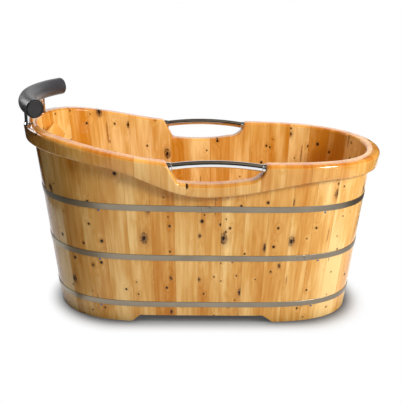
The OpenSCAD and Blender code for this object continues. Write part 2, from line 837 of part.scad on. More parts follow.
for (i = [1:stave_count])
    stave(i - 1);
rim_collar_foot();
rim_collar_left();
rim_collar_head();
rim_collar_right();
hoop_bottom();
hoop_middle();
hoop_top();
hoop_fasteners();
floor_boards();
floor_bearers();
grab_bar_left();
grab_bar_right();
grab_bar_ferrules();
headrest_foam();
headrest_core();
headrest_posts();
headrest_bases();
headrest_caps();
back_board();
back_board_cleats();
drain_body();
drain_seal();
drain_nut();
drain_plug();
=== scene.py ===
import logging
import math
from dataclasses import dataclass, field, replace
from enum import Enum

import bmesh
import bpy
import numpy as np
from bpy.types import Material, Node, NodeSocket, Object
from mathutils import Matrix, Vector


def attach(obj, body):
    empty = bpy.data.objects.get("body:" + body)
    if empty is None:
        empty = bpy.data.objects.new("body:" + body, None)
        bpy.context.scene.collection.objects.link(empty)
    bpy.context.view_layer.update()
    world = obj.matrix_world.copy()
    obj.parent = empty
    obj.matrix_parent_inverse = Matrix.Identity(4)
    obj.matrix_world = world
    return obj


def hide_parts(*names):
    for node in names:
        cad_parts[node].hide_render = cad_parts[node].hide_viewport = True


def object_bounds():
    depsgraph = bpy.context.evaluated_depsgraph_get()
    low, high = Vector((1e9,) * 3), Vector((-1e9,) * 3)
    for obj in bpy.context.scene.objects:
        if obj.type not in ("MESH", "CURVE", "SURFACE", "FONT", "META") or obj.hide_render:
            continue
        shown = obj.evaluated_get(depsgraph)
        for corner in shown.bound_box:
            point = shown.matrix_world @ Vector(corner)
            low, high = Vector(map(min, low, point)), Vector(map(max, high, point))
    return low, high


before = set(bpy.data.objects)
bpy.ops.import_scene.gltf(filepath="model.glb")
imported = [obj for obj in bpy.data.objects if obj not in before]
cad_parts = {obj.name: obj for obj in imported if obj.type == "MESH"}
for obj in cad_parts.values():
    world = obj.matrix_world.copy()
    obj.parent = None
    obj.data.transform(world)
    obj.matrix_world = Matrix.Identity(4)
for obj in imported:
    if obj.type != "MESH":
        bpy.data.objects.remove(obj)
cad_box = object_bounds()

log = logging.getLogger("bathtub")

# Metres in a millimetre
MM = 0.001
# Upward part of a face's normal above which it shows end grain
FACING_UP = 0.35
# Share of a board's width in the grain coordinates that is left free at each edge
BOARD_MARGIN = 0.02
# Steps that feel out which way a surface runs, in millimetres, degrees and radians
PROBE_Z = 10
PROBE_T = 0.1
PROBE_A = 0.001
# Sockets of a mix node that take the colour below and above, and give the mixed one
MIX_UNDER = 6
MIX_OVER = 7
MIX_RESULT = 2

Pair = tuple[float, float]
Point = tuple[float, float, float]
Outline = list[Pair]
Ring = list[Point | Vector]
Colour = tuple[float, float, float]
Input = float | tuple[float, ...] | str | bool | NodeSocket


class Slot(Enum):
    """Material slots of the record, passed along with the new pieces."""

    STAVE = "cedar_stave"
    RIM = "cedar_rim"
    HOOP = "hoop_steel"
    CHROME = "chrome_fitting"
    FOAM = "headrest_foam"
    CAP = "headrest_cap"


class Run(Enum):
    """Where a wooden piece's grain coordinates come from."""

    STORED = "the piece's own grain coordinates"
    ALONG_X = "lengthwise"
    ALONG_Y = "crosswise"


class Side(Enum):
    """The two long sides of the tub, as the sign of y."""

    LEFT = 1
    RIGHT = -1


class End(Enum):
    """The two ends of the tub, as the sign of x."""

    HEAD = -1
    FOOT = 1


def ease(f: float) -> float:
    """Smooth step from 0 to 1, with f clamped to 0..1."""
    c = min(1.0, max(0.0, f))
    return c * c * (3 - 2 * c)


def lean(angle: float, height: float) -> float:
    """How far a wall that leans by an angle, in degrees, strays over a height."""
    return math.tan(math.radians(angle)) * height


def bend(start: Pair, corner: Pair, end: Pair, steps: int) -> Outline:
    """Rounds a corner between two points.

    Args:
        start: point where the curve begins.
        corner: the sharp corner.
        end: point where the curve ends.
        steps: number of segments.

    Returns:
        Points along the rounded corner.
    """
    out = []
    for k in range(steps + 1):
        f = k / steps
        w = ((1 - f) ** 2, 2 * f * (1 - f), f * f)
        out.append(tuple(w[0] * a + w[1] * b + w[2] * c for a, b, c in zip(start, corner, end)))
    return out


def quarter(off: float, z: float, r: float, outer: bool, steps: int) -> Outline:
    """Quarter round on a top edge.

    Args:
        off: offset of the face that the round ends on.
        z: height of the top.
        r: radius.
        outer: True for the outer edge, drawn from the side up, False for the inner edge, drawn down.
        steps: number of segments.

    Returns:
        Offsets and heights.
    """
    out = []
    for a in np.linspace(0, math.pi / 2, steps + 1):
        if outer:
            out.append((off - r + r * math.cos(a), z - r + r * math.sin(a)))
        else:
            out.append((off + r - r * math.sin(a), z - r + r * math.cos(a)))
    return out


def circle(centre: Vector, a: Vector, b: Vector, r: float, sides: int) -> list[Vector]:
    """Points round a circle, from unit direction a towards b, which is square to it."""
    turns = np.linspace(0, 2 * math.pi, sides, endpoint=False)
    return [centre + (a * math.cos(w) + b * math.sin(w)) * r for w in turns]


@dataclass
class TubShape:
    """Plan, lean and rim line of the coopered wall, in millimetres and degrees.

    The tub lies along x with its head end at -x, and stands on z = 0.

    Attributes:
        rim_l: length over the collar at the rim.
        rim_w: width over the collar at the rim.
        head_rim_h: height of the rim at the head end.
        foot_rim_h: height of the rim at the foot end.
        head_level: length of the level rim at the head end.
        head_drop_run: length over which the rim drops from there.
        head_lean: outward lean of the head end.
        foot_lean: outward lean of the foot end.
        side_lean: outward lean of the sides.
        head_square: squareness of the oval's head end, 2 for a plain oval.
        foot_square: squareness of the oval's foot end.
        stave_count: number of staves.
        stave_t: thickness of a stave.
        joint_gap: room between two staves.
        collar_t: thickness of the collar.
        collar_h: height of the collar at the ends.
        collar_dip: how much further the collar reaches down below the notches.
        collar_dip_x: place of the dip's lowest point.
        collar_dip_head: length of the dip towards the head end.
        collar_dip_foot: length of the dip towards the foot end.
        notch_head_x: place of a notch's upper corner at the head end.
        notch_foot_x: place of a notch's upper corner at the foot end.
        notch_depth: depth of a notch below the foot rim.
        notch_head_slope: slope of a notch's head end.
        notch_foot_r: radius of a notch's round foot end.
        notch_sag: how far a notch's floor sags.
        notch_low_x: place of that floor's lowest point.
        notch_corner: length of the rounding of a notch's corners.
        notch_corner_steps: number of segments of that rounding.
        notch_floor_steps: number of segments of a notch's floor.
        notch_arc_step: angle of one segment of the round foot end.
        notch_arc_stop: angle that these segments stay below.
        notch_arc_end: angle at which the upper corner's rounding begins.
        arch_head_x: place of the arch's head end.
        arch_foot_x: place of the arch's foot end.
        arch_h: height of the arch.
        arch_run: length of the arch's sloping ends.
        arch_steps: number of segments of the curved end.
        floor_z: height of the floor's underside.
        floor_t: thickness of the floor.
        groove_d: depth of the floor's groove in the staves.
        seat_gap: room left wherever one piece sits in or on another.
        girth_step: angle between the points at which the girth is measured.
        joint_clear: least angle between a joint and a notch's or arch's own column.
        column_clear: angle round such a column within which no even column stays.
        column_gap: least angle between two columns.
        table_t: angles at which the girth is measured.
        table_s: distance round the tub at each of them.
        notch_tables: angles and heights of each notch.
        arch_tables: angles and heights of each arch.
    """

    rim_l: float = 1545
    rim_w: float = 714
    head_rim_h: float = 852
    foot_rim_h: float = 770
    head_level: float = 30
    head_drop_run: float = 640
    head_lean: float = 6.1
    foot_lean: float = 1.6
    side_lean: float = 4.3
    head_square: float = 4.3
    foot_square: float = 4.2
    stave_count: int = 36
    stave_t: float = 24
    joint_gap: float = 0.3
    collar_t: float = 33
    collar_h: float = 64
    collar_dip: float = 76
    collar_dip_x: float = -25
    collar_dip_head: float = 370
    collar_dip_foot: float = 560
    notch_head_x: float = -172
    notch_foot_x: float = 222
    notch_depth: float = 87
    notch_head_slope: float = 60
    notch_foot_r: float = 72
    notch_sag: float = 16
    notch_low_x: float = -19
    notch_corner: float = 12
    notch_corner_steps: int = 6
    notch_floor_steps: int = 12
    notch_arc_step: float = 6
    notch_arc_stop: float = 75
    notch_arc_end: float = 80
    arch_head_x: float = -310
    arch_foot_x: float = 325
    arch_h: float = 36
    arch_run: float = 46
    arch_steps: int = 8
    floor_z: float = 86
    floor_t: float = 26
    groove_d: float = 9
    seat_gap: float = 0.3
    girth_step: float = 1.5
    joint_clear: float = 0.12
    column_clear: float = 0.4
    column_gap: float = 0.06
    table_t: np.ndarray = field(init=False, repr=False)
    table_s: np.ndarray = field(init=False, repr=False)
    notch_tables: list[np.ndarray] = field(init=False, repr=False)
    arch_tables: list[np.ndarray] = field(init=False, repr=False)

    def __post_init__(self) -> None:
        """Measures the girth once, so that the staves come out equal, and the notches and arches."""
        self.table_t = np.arange(0, 360.01, self.girth_step)
        pts = np.array([self.at(t, 0, self.foot_rim_h / 2) for t in self.table_t])
        steps = np.linalg.norm(np.diff(pts, axis=0), axis=1)
        self.table_s = np.concatenate([[0], np.cumsum(steps)])
        self.notch_tables = [self.on_side(self.notch_points(), s) for s in Side]
        self.arch_tables = [self.on_side(self.arch_points(), s) for s in Side]

    @property
    def girth(self) -> float:
        """Length round the outer stave face at mid height."""
        return float(self.table_s[-1])

    @property
    def stave_w(self) -> float:
        """Width of a stave at mid height."""
        return self.girth / self.stave_count

    def head_x(self, z: float) -> float:
        """Outer face of the head end at height z."""
        return self.collar_t - self.rim_l / 2 + lean(self.head_lean, self.head_rim_h - z)

    def foot_x(self, z: float) -> float:
        """Outer face of the foot end at height z."""
        return self.rim_l / 2 - self.collar_t - lean(self.foot_lean, self.foot_rim_h - z)

    def half_l(self, z: float) -> float:
        """Half length of the outer stave face at height z."""
        return (self.foot_x(z) - self.head_x(z)) / 2

    def mid_x(self, z: float) -> float:
        """Middle of the outer stave face at height z."""
        return (self.foot_x(z) + self.head_x(z)) / 2

    def half_w(self, z: float) -> float:
        """Half width of the outer stave face at height z."""
        return self.rim_w / 2 - self.collar_t - lean(self.side_lean, self.foot_rim_h - z)

    def power(self, t: float) -> float:
        """Squareness of the end of the oval that angle t lies in."""
        return self.head_square if math.cos(math.radians(t)) < 0 else self.foot_square

    def oval(self, t: float) -> Pair:
        """Unit plan of the tub.

        Args:
            t: angle round the oval, in degrees, 0 at the foot end.

        Returns:
            Place along and across the oval, each from -1 to 1.
        """
        c = math.cos(math.radians(t))
        s = math.sin(math.radians(t))
        v = math.sqrt(max(0.0, 1 - abs(c) ** self.power(t)))
        return c, math.copysign(v, s) if abs(s) > 1e-12 else 0.0

    def outward(self, t: float) -> Pair:
        """Level outward direction of the wall.

        Args:
            t: angle round the oval, in degrees.

        Returns:
            The x and y of a unit direction.
        """
        mid_z = self.foot_rim_h / 2
        u, v = self.oval(t)
        m = self.power(t)
        nx = m * math.copysign(abs(u) ** (m - 1), u) / self.half_l(mid_z)
        ny = 2 * v / self.half_w(mid_z)
        n = math.hypot(nx, ny)
        return nx / n, ny / n

    def at(self, t: float, off: float, z: float) -> Point:
        """Point on the wall.

        Args:
            t: angle round the oval, in degrees.
            off: distance outwards from the outer stave face.
            z: height.

        Returns:
            The point, in millimetres.
        """
        u, v = self.oval(t)
        nx, ny = self.outward(t)
        return (self.mid_x(z) + self.half_l(z) * u + off * nx, self.half_w(z) * v + off * ny, z)

    def spot(self, t: float, off: float, z: float) -> Point:
        """The same point on the wall, in metres."""
        return tuple(c * MM for c in self.at(t, off, z))

    def t_at(self, s: float) -> float:
        """Angle at distance s round the oval at mid height, beyond 360 degrees after a full turn."""
        turn = math.floor(s / self.girth)
        return float(np.interp(s - turn * self.girth, self.table_s, self.table_t)) + 360 * turn

    def s_at(self, t: float) -> float:
        """Distance round the oval at angle t."""
        turn = math.floor(t / 360)
        return float(np.interp(t - 360 * turn, self.table_t, self.table_s)) + turn * self.girth

    def side_t(self, x: float, z: float, side: Side) -> float:
        """Angle at which the outer face of a side reaches a place along the tub.

        Args:
            x: place along the tub.
            z: height.
            side: long side of the tub.

        Returns:
            The angle, in degrees.
        """
        c = max(-1.0, min(1.0, (x - self.mid_x(z)) / self.half_l(z)))
        t = math.degrees(math.acos(c))
        return t if side is Side.LEFT else 360 - t

    def on_side(self, points: Outline, side: Side) -> np.ndarray:
        """A side view's points as growing angles with heights."""
        return np.array(sorted((self.side_t(x, z, side), z) for x, z in points))

    def rim_z(self, x: float) -> float:
        """Height of the rim.

        Args:
            x: place along the tub.

        Returns:
            The height, the notches left out.
        """
        start = -self.rim_l / 2 + self.head_level
        f = (start + self.head_drop_run - x) / self.head_drop_run
        return self.foot_rim_h + (self.head_rim_h - self.foot_rim_h) * ease(f)

    def collar_z(self, x: float) -> float:
        """Height of the collar's lower edge, which dips below the notches.

        Args:
            x: place along the tub.

        Returns:
            The height.
        """
        run = self.collar_dip_head if x < self.collar_dip_x else self.collar_dip_foot
        f = min(1.0, abs(x - self.collar_dip_x) / run)
        return self.rim_z(x) - self.collar_h - self.collar_dip * (1 + math.cos(math.pi * f)) / 2

    def x_at(self, t: float) -> float:
        """Place along the tub at angle t, at the foot rim's height."""
        return self.at(t, 0, self.foot_rim_h)[0]

    def notch_arc(self, turn: float) -> Pair:
        """Point of the notch's round foot end.

        Args:
            turn: how far up from its lowest point, in degrees.

        Returns:
            Its place along the tub and its height.
        """
        a = math.radians(turn)
        r = self.notch_foot_r
        return self.notch_arc_x + r * math.sin(a), self.notch_arc_z - r * math.cos(a)

    @property
    def notch_arc_x(self) -> float:
        """Place along the tub of the centre of the notch's round end."""
        return self.notch_foot_x - self.notch_foot_r

    @property
    def notch_arc_z(self) -> float:
        """Height of the centre of the notch's round end."""
        return self.foot_rim_h - self.notch_depth + self.notch_sag + self.notch_foot_r

    def notch_floor(self, x: float) -> float:
        """Height of the notch's sagging floor at x."""
        f = (x - self.notch_low_x) / (self.notch_arc_x - self.notch_low_x)
        return self.foot_rim_h - self.notch_depth + self.notch_sag * f * f

    def notch_end_x(self, end: End, z: float) -> float:
        """Place along the tub of a notch's end wall.

        Args:
            end: which end of the notch.
            z: height.

        Returns:
            The place.
        """
        if end is End.HEAD:
            rise = self.rim_z(self.notch_head_x) - z
            return self.notch_head_x + rise / math.tan(math.radians(self.notch_head_slope))
        return self.notch_arc_x + math.sqrt(max(1.0, self.notch_foot_r ** 2 - (self.notch_arc_z - z) ** 2))

    def notch_points(self) -> Outline:
        """Side view of a handle notch.

        Returns:
            Places along the tub and heights, from the head end to the foot end.
        """
        corner = self.notch_corner
        steps = self.notch_corner_steps
        slope = math.radians(self.notch_head_slope)
        down = (corner * math.cos(slope), -corner * math.sin(slope))
        top = (self.notch_head_x, self.rim_z(self.notch_head_x))
        low_z = self.foot_rim_h - self.notch_depth + self.notch_sag / 2
        low = (self.notch_end_x(End.HEAD, low_z), low_z)
        start_x = low[0] + corner
        pts = bend((top[0] - corner, top[1]), top, (top[0] + down[0], top[1] + down[1]), steps)
        pts += bend((low[0] - down[0], low[1] - down[1]), low, (start_x, self.notch_floor(start_x)), steps)
        for x in np.linspace(start_x, self.notch_arc_x, self.notch_floor_steps + 1)[1:-1]:
            pts.append((x, self.notch_floor(x)))
        pts += [self.notch_arc(turn) for turn in np.arange(0, self.notch_arc_stop, self.notch_arc_step)]
        end = (self.notch_foot_x, self.foot_rim_h)
        return pts + bend(self.notch_arc(self.notch_arc_end), end, (end[0] + corner, end[1]), steps)

    def arch_points(self) -> Outline:
        """Side view of the cut-out between the feet.

        Returns:
            Places along the tub and heights, from the head end to the foot end.
        """
        pts = []
        for f in np.linspace(0, 1, self.arch_steps + 1):
            pts.append((self.arch_head_x + self.arch_run * f, self.arch_h * ease(f)))
        return pts + [(self.arch_foot_x - self.arch_run, self.arch_h), (self.arch_foot_x, 0.0)]

    def cut_z(self, t: float, tables: list[np.ndarray], plain: float) -> float:
        """Height of an edge that has cut-outs.

        Args:
            t: angle round the oval, in degrees.
            tables: angles and heights of each cut-out.
            plain: the edge's height outside them.

        Returns:
            The height.
        """
        full = t % 360
        for table in tables:
            if table[0, 0] < full < table[-1, 0]:
                return float(np.interp(full, table[:, 0], table[:, 1]))
        return plain

    def top_z(self, t: float) -> float:
        """Height of the wall's top at angle t, notches included."""
        return self.cut_z(t, self.notch_tables, self.rim_z(self.x_at(t)))

    def bottom_z(self, t: float) -> float:
        """Height of the wall's bottom at angle t, arches included."""
        return self.cut_z(t, self.arch_tables, 0.0)

    def columns(self, i: int, flats: int, shift: float, arches: bool) -> list[float]:
        """Angles of the columns across one board of the wall.

        Args:
            i: number of the board.
            flats: number of even steps across it.
            shift: shift of the joints, as a share of a stave.
            arches: whether the cut-outs between the feet add columns.

        Returns:
            Growing angles from one joint to the next.
        """
        start = (i - 0.5 + shift) * self.stave_w + self.joint_gap / 2
        run = self.stave_w - self.joint_gap
        even = [self.t_at(start + k * run / flats) for k in range(flats + 1)]
        tables = self.notch_tables + (self.arch_tables if arches else [])
        keys = [t for table in tables for t in table[:, 0]]
        if even[0] < 0:
            keys += [t - 360 for t in keys]
        own = [t for t in keys if even[0] + self.joint_clear < t < even[-1] - self.joint_clear]
        free = [t for t in even[1:-1] if all(abs(t - v) > self.column_clear for v in own)]
        out = [even[0]]
        for t in sorted(own + free):
            if t - out[-1] > self.column_gap:
                out.append(t)
        return out + [even[-1]]


class MeshBuffer:
    """Collects several closed solids for one mesh, in metres."""

    def __init__(self) -> None:
        """Starts empty."""
        self.verts: list[Point] = []
        self.faces: list[list[int]] = []
        self.uvs: list[Pair] = []

    def loft(self, rings: list[Ring], uvs: list[list[Pair]] | None = None) -> None:
        """Adds a solid through a row of closed outlines.

        Args:
            rings: outlines with the same number of points.
            uvs: grain coordinates for each point, or None.
        """
        base = len(self.verts)
        n = len(rings[0])
        for ring in rings:
            self.verts += [tuple(p) for p in ring]
        for row in uvs or []:
            self.uvs += row
        for i in range(len(rings) - 1):
            a = base + i * n
            for j in range(n):
                k = (j + 1) % n
                self.faces.append([a + j, a + k, a + n + k, a + n + j])
        self.faces.append([base + j for j in reversed(range(n))])
        self.faces.append([base + (len(rings) - 1) * n + j for j in range(n)])

    def tube(self, path: list[Vector], r: float, sides: int) -> None:
        """Adds a round bar along a path.

        Args:
            path: centre points, one after the other.
            r: radius.
            sides: number of sides round it.
        """
        rings = []
        for i, p in enumerate(path):
            along = (path[min(i + 1, len(path) - 1)] - path[max(i - 1, 0)]).normalized()
            a = along.cross(Vector((0, 0, 1))).normalized()
            rings.append(circle(p, a, along.cross(a).normalized(), r, sides))
        self.loft(rings)

    def turn(self, centre: Vector, profile: Outline, sides: int) -> None:
        """Adds a body turned about an upright axis, by its radii and heights in millimetres."""
        x, y, z = Matrix.Identity(3)
        self.loft([circle(centre + z * (h * MM), x, y, r * MM, sides) for r, h in profile])


@dataclass
class Piece:
    """Builds one mesh object and hangs it on its body.

    Attributes:
        name: its name.
        body: the moving body that it rides.
        smooth: largest angle between faces shaded as one surface, in degrees.
    """

    name: str
    body: str = "tub"
    smooth: float = 35

    def make(self, buffer: MeshBuffer) -> Object:
        """Makes the mesh object.

        Args:
            buffer: the solids.

        Returns:
            The new object, in place.
        """
        mesh = bpy.data.meshes.new(self.name)
        mesh.from_pydata(buffer.verts, [], buffer.faces)
        if buffer.uvs:
            layer = mesh.uv_layers.new(name="grain")
            for loop in mesh.loops:
                layer.data[loop.index].uv = buffer.uvs[loop.vertex_index]
        work = bmesh.new()
        work.from_mesh(mesh)
        bmesh.ops.recalc_face_normals(work, faces=work.faces)
        work.to_mesh(mesh)
        work.free()
        mesh.shade_smooth()
        mesh.set_sharp_from_angle(angle=math.radians(self.smooth))
        obj = bpy.data.objects.new(self.name, mesh)
        bpy.context.scene.collection.objects.link(obj)
        return obj

    def build(self, buffer: MeshBuffer, material: Material, slot: Slot, nodes: list[str],
              end_grain: Material | None = None) -> Object:
        """Makes a piece and gives it its material and body.

        Args:
            buffer: the solids.
            material: its finish.
            slot: the record's slot; not used.
            nodes: CAD nodes that it stands for.
            end_grain: finish of the faces that look up, or None.

        Returns:
            The piece.
        """
        obj = self.make(buffer)
        obj.data.materials.append(material)
        if end_grain is not None:
            obj.data.materials.append(end_grain)
            for face in obj.data.polygons:
                face.material_index = int(face.normal.z > FACING_UP)
        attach(obj, self.body)
        if nodes:
            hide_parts(*nodes)
        return obj


class Graph:
    """Short ways to add and link shader nodes."""

    def __init__(self, owner: bpy.types.ID) -> None:
        """Turns on the nodes of a material or world, and keeps a material's main shader.

        Args:
            owner: the material or world.
        """
        owner.use_nodes = True
        self.owner = owner
        self.tree = owner.node_tree
        self.main = next((n for n in self.tree.nodes if n.type == "BSDF_PRINCIPLED"), None)

    def plug(self, socket: NodeSocket, value: Input) -> None:
        """Links an output to a socket, or sets the socket's value.

        Args:
            socket: the input socket.
            value: an output socket, or a plain value.
        """
        if isinstance(value, NodeSocket):
            self.tree.links.new(value, socket)
        else:
            socket.default_value = value

    def node(self, kind: str, **inputs: Input) -> Node:
        """Adds a node.

        Args:
            kind: the node's type name.
            **inputs: properties of the node, or its sockets by name; in_0 means the first socket.

        Returns:
            The node.
        """
        n = self.tree.nodes.new(kind)
        sockets = {}
        for key, value in inputs.items():
            if hasattr(n, key) and not key.startswith("in_"):
                setattr(n, key, value)
            else:
                sockets[key] = value
        for key, value in sockets.items():
            if key.startswith("in_"):
                self.plug(n.inputs[int(key.removeprefix("in_"))], value)
            else:
                self.plug(n.inputs[key.replace("_", " ")], value)
        return n

    def math(self, op: str, a: Input, b: Input | None = None) -> NodeSocket:
        """Adds a maths node.

        Args:
            op: name of the operation.
            a: its first input.
            b: its second input, where it has one.

        Returns:
            Its output.
        """
        n = self.tree.nodes.new("ShaderNodeMath")
        n.operation = op
        self.plug(n.inputs[0], a)
        if b is not None:
            self.plug(n.inputs[1], b)
        return n.outputs[0]

    def vector(self, op: str, a: Input, b: Input) -> NodeSocket:
        """Adds a vector maths node with two vector inputs and returns its output."""
        return self.node("ShaderNodeVectorMath", operation=op, in_0=a, in_1=b).outputs[0]

    def blend(self, *parts: tuple[Input, float]) -> NodeSocket:
        """Adds up levels by weight.

        Args:
            *parts: pairs of a level and its weight.

        Returns:
            The sum.
        """
        terms = [self.math("MULTIPLY", level, weight) for level, weight in parts]
        total = terms[0]
        for term in terms[1:]:
            total = self.math("ADD", total, term)
        return total

    def span(self, value: Input, start: float, end: float, low: float, high: float) -> NodeSocket:
        """Maps a range to another, clamped.

        Args:
            value: the input.
            start: input that gives low.
            end: input that gives high.
            low: the first level.
            high: the last level.

        Returns:
            The level.
        """
        n = self.node("ShaderNodeMapRange", Value=value, From_Min=start, From_Max=end,
                      To_Min=low, To_Max=high)
        return n.outputs[0]

    def noise(self, where: NodeSocket, scale: float, detail: float, roughness: float) -> NodeSocket:
        """Adds a noise and returns its level, from 0 to 1."""
        n = self.node("ShaderNodeTexNoise", Vector=where, Scale=scale, Detail=detail, Roughness=roughness)
        return n.outputs["Fac"]

    def stain(self, factor: NodeSocket, under: NodeSocket, colour: Colour) -> NodeSocket:
        """Lays a colour over another.

        Args:
            factor: how much of it shows.
            under: the colour below.
            colour: the colour on top.

        Returns:
            The mixed colour.
        """
        n = self.node("ShaderNodeMix", data_type="RGBA", in_0=factor)
        self.plug(n.inputs[MIX_UNDER], under)
        self.plug(n.inputs[MIX_OVER], (*colour, 1))
        return n.outputs[MIX_RESULT]

    def ramp(self, factor: NodeSocket, stops: list[tuple[float, Colour]]) -> NodeSocket:
        """Adds a colour ramp.

        Args:
            factor: its input.
            stops: places and colours; places are scaled to end at 1.

        Returns:
            The colour.
        """
        top = max(1.0, stops[-1][0])
        n = self.node("ShaderNodeValToRGB", in_0=self.math("DIVIDE", factor, top))
        bar = n.color_ramp.elements
        while len(bar) < len(stops):
            bar.new(0.5)
        for item, (at, colour) in zip(bar, stops):
            item.position = at / top
            item.color = (*colour, 1)
        return n.outputs[0]

    def surface(self, values: dict[str, Input]) -> None:
        """Sets or links the main shader's sockets."""
        for key, value in values.items():
            self.plug(self.main.inputs[key], value)

    def shown(self) -> NodeSocket:
        """Tells the rays that see a thing from those that light others with it.

        Returns:
            1 for rays from the camera, from a mirror or through glass, and 0 for others.
        """
        path = self.node("ShaderNodeLightPath").outputs
        straight = self.math("MAXIMUM", path["Is Camera Ray"], path["Is Glossy Ray"])
        return self.math("MAXIMUM", straight, path["Is Transmission Ray"])


@dataclass(frozen=True)
class Scatter:
    """How one kind of mark is scattered over the boards.

    Attributes:
        cells: cells to a metre across the grain, with at most one mark in each.
        share: share of the cells that have a mark, on a board of average richness.
        small: radius of the smallest mark, in cells.
        spread: how much larger the largest one is, in cells.
        stretch: width of a mark against its length along the grain.
        wobble: how far its outline strays, in metres.
    """

    cells: float
    share: float
    small: float
    spread: float
    stretch: float
    wobble: float


PINS = Scatter(cells=11.5, share=0.62, small=0.032, spread=0.050, stretch=0.85, wobble=0.0025)
SWIRLS = Scatter(cells=7.6, share=0.55, small=0.050, spread=0.085, stretch=0.60, wobble=0.012)
EYES = replace(SWIRLS, small=0.020, spread=0.034)
VEINS = Scatter(cells=14.0, share=0.50, small=0.030, spread=0.045, stretch=0.09, wobble=0.006)


@dataclass(frozen=True)
class Fall:
    """How a mark's level falls off round its middle.

    Attributes:
        start: where it starts to fall, in radii of the mark.
        end: where it is gone, in radii of the mark.
        level: its level inside.
    """

    start: float
    end: float
    level: float


CORE = Fall(0.85, 1.1, 0.98)
HALO = Fall(0.9, 2.2, 0.6)
PUSH = Fall(0.6, 6.0, 0.8)


@dataclass(frozen=True)
class Knots:
    """Levels of one layer of knots.

    Attributes:
        core: the dark middle.
        halo: the stained wood round it.
        push: how far it pushes the rings aside.
    """

    core: NodeSocket
    halo: NodeSocket
    push: NodeSocket


@dataclass(frozen=True)
class Streak:
    """Noise drawn out along the grain.

    Attributes:
        across: how fine it is across the grain, per metre.
        along: how fine it is along the grain, per metre.
    """

    across: float
    along: float


DRIFT = Streak(24.0, 1.1)
FINE = Streak(420.0, 9.0)
BROAD = Streak(13.0, 2.2)
BAND = Streak(60.0, 2.5)
TORN = Streak(120.0, 60.0)

# How far apart in the timber two boards are cut, across the grain and in depth
BOARD_STEP_X = 3.71
BOARD_STEP_Z = 1.37
# Tones at which the wood has its pale, middle and deep colour
PALE_TONE = 0.70
MIDDLE_TONE = 0.94
DEEP_TONE = 1.22
# Variety of tones at which the middle tone needs no shift
COMMON_VARIETY = 0.24
# Stains laid over the wood, the darkest last, and how strongly two of them may show
HALO_STAIN = (0.40, 0.15, 0.026)
VEIN_STAIN = (0.30, 0.095, 0.018)
SWIRL_STAIN = (0.11, 0.036, 0.009)
EYE_STAIN = (0.022, 0.008, 0.003)
HALO_SHARE = 0.6
VEIN_SHARE = 0.7


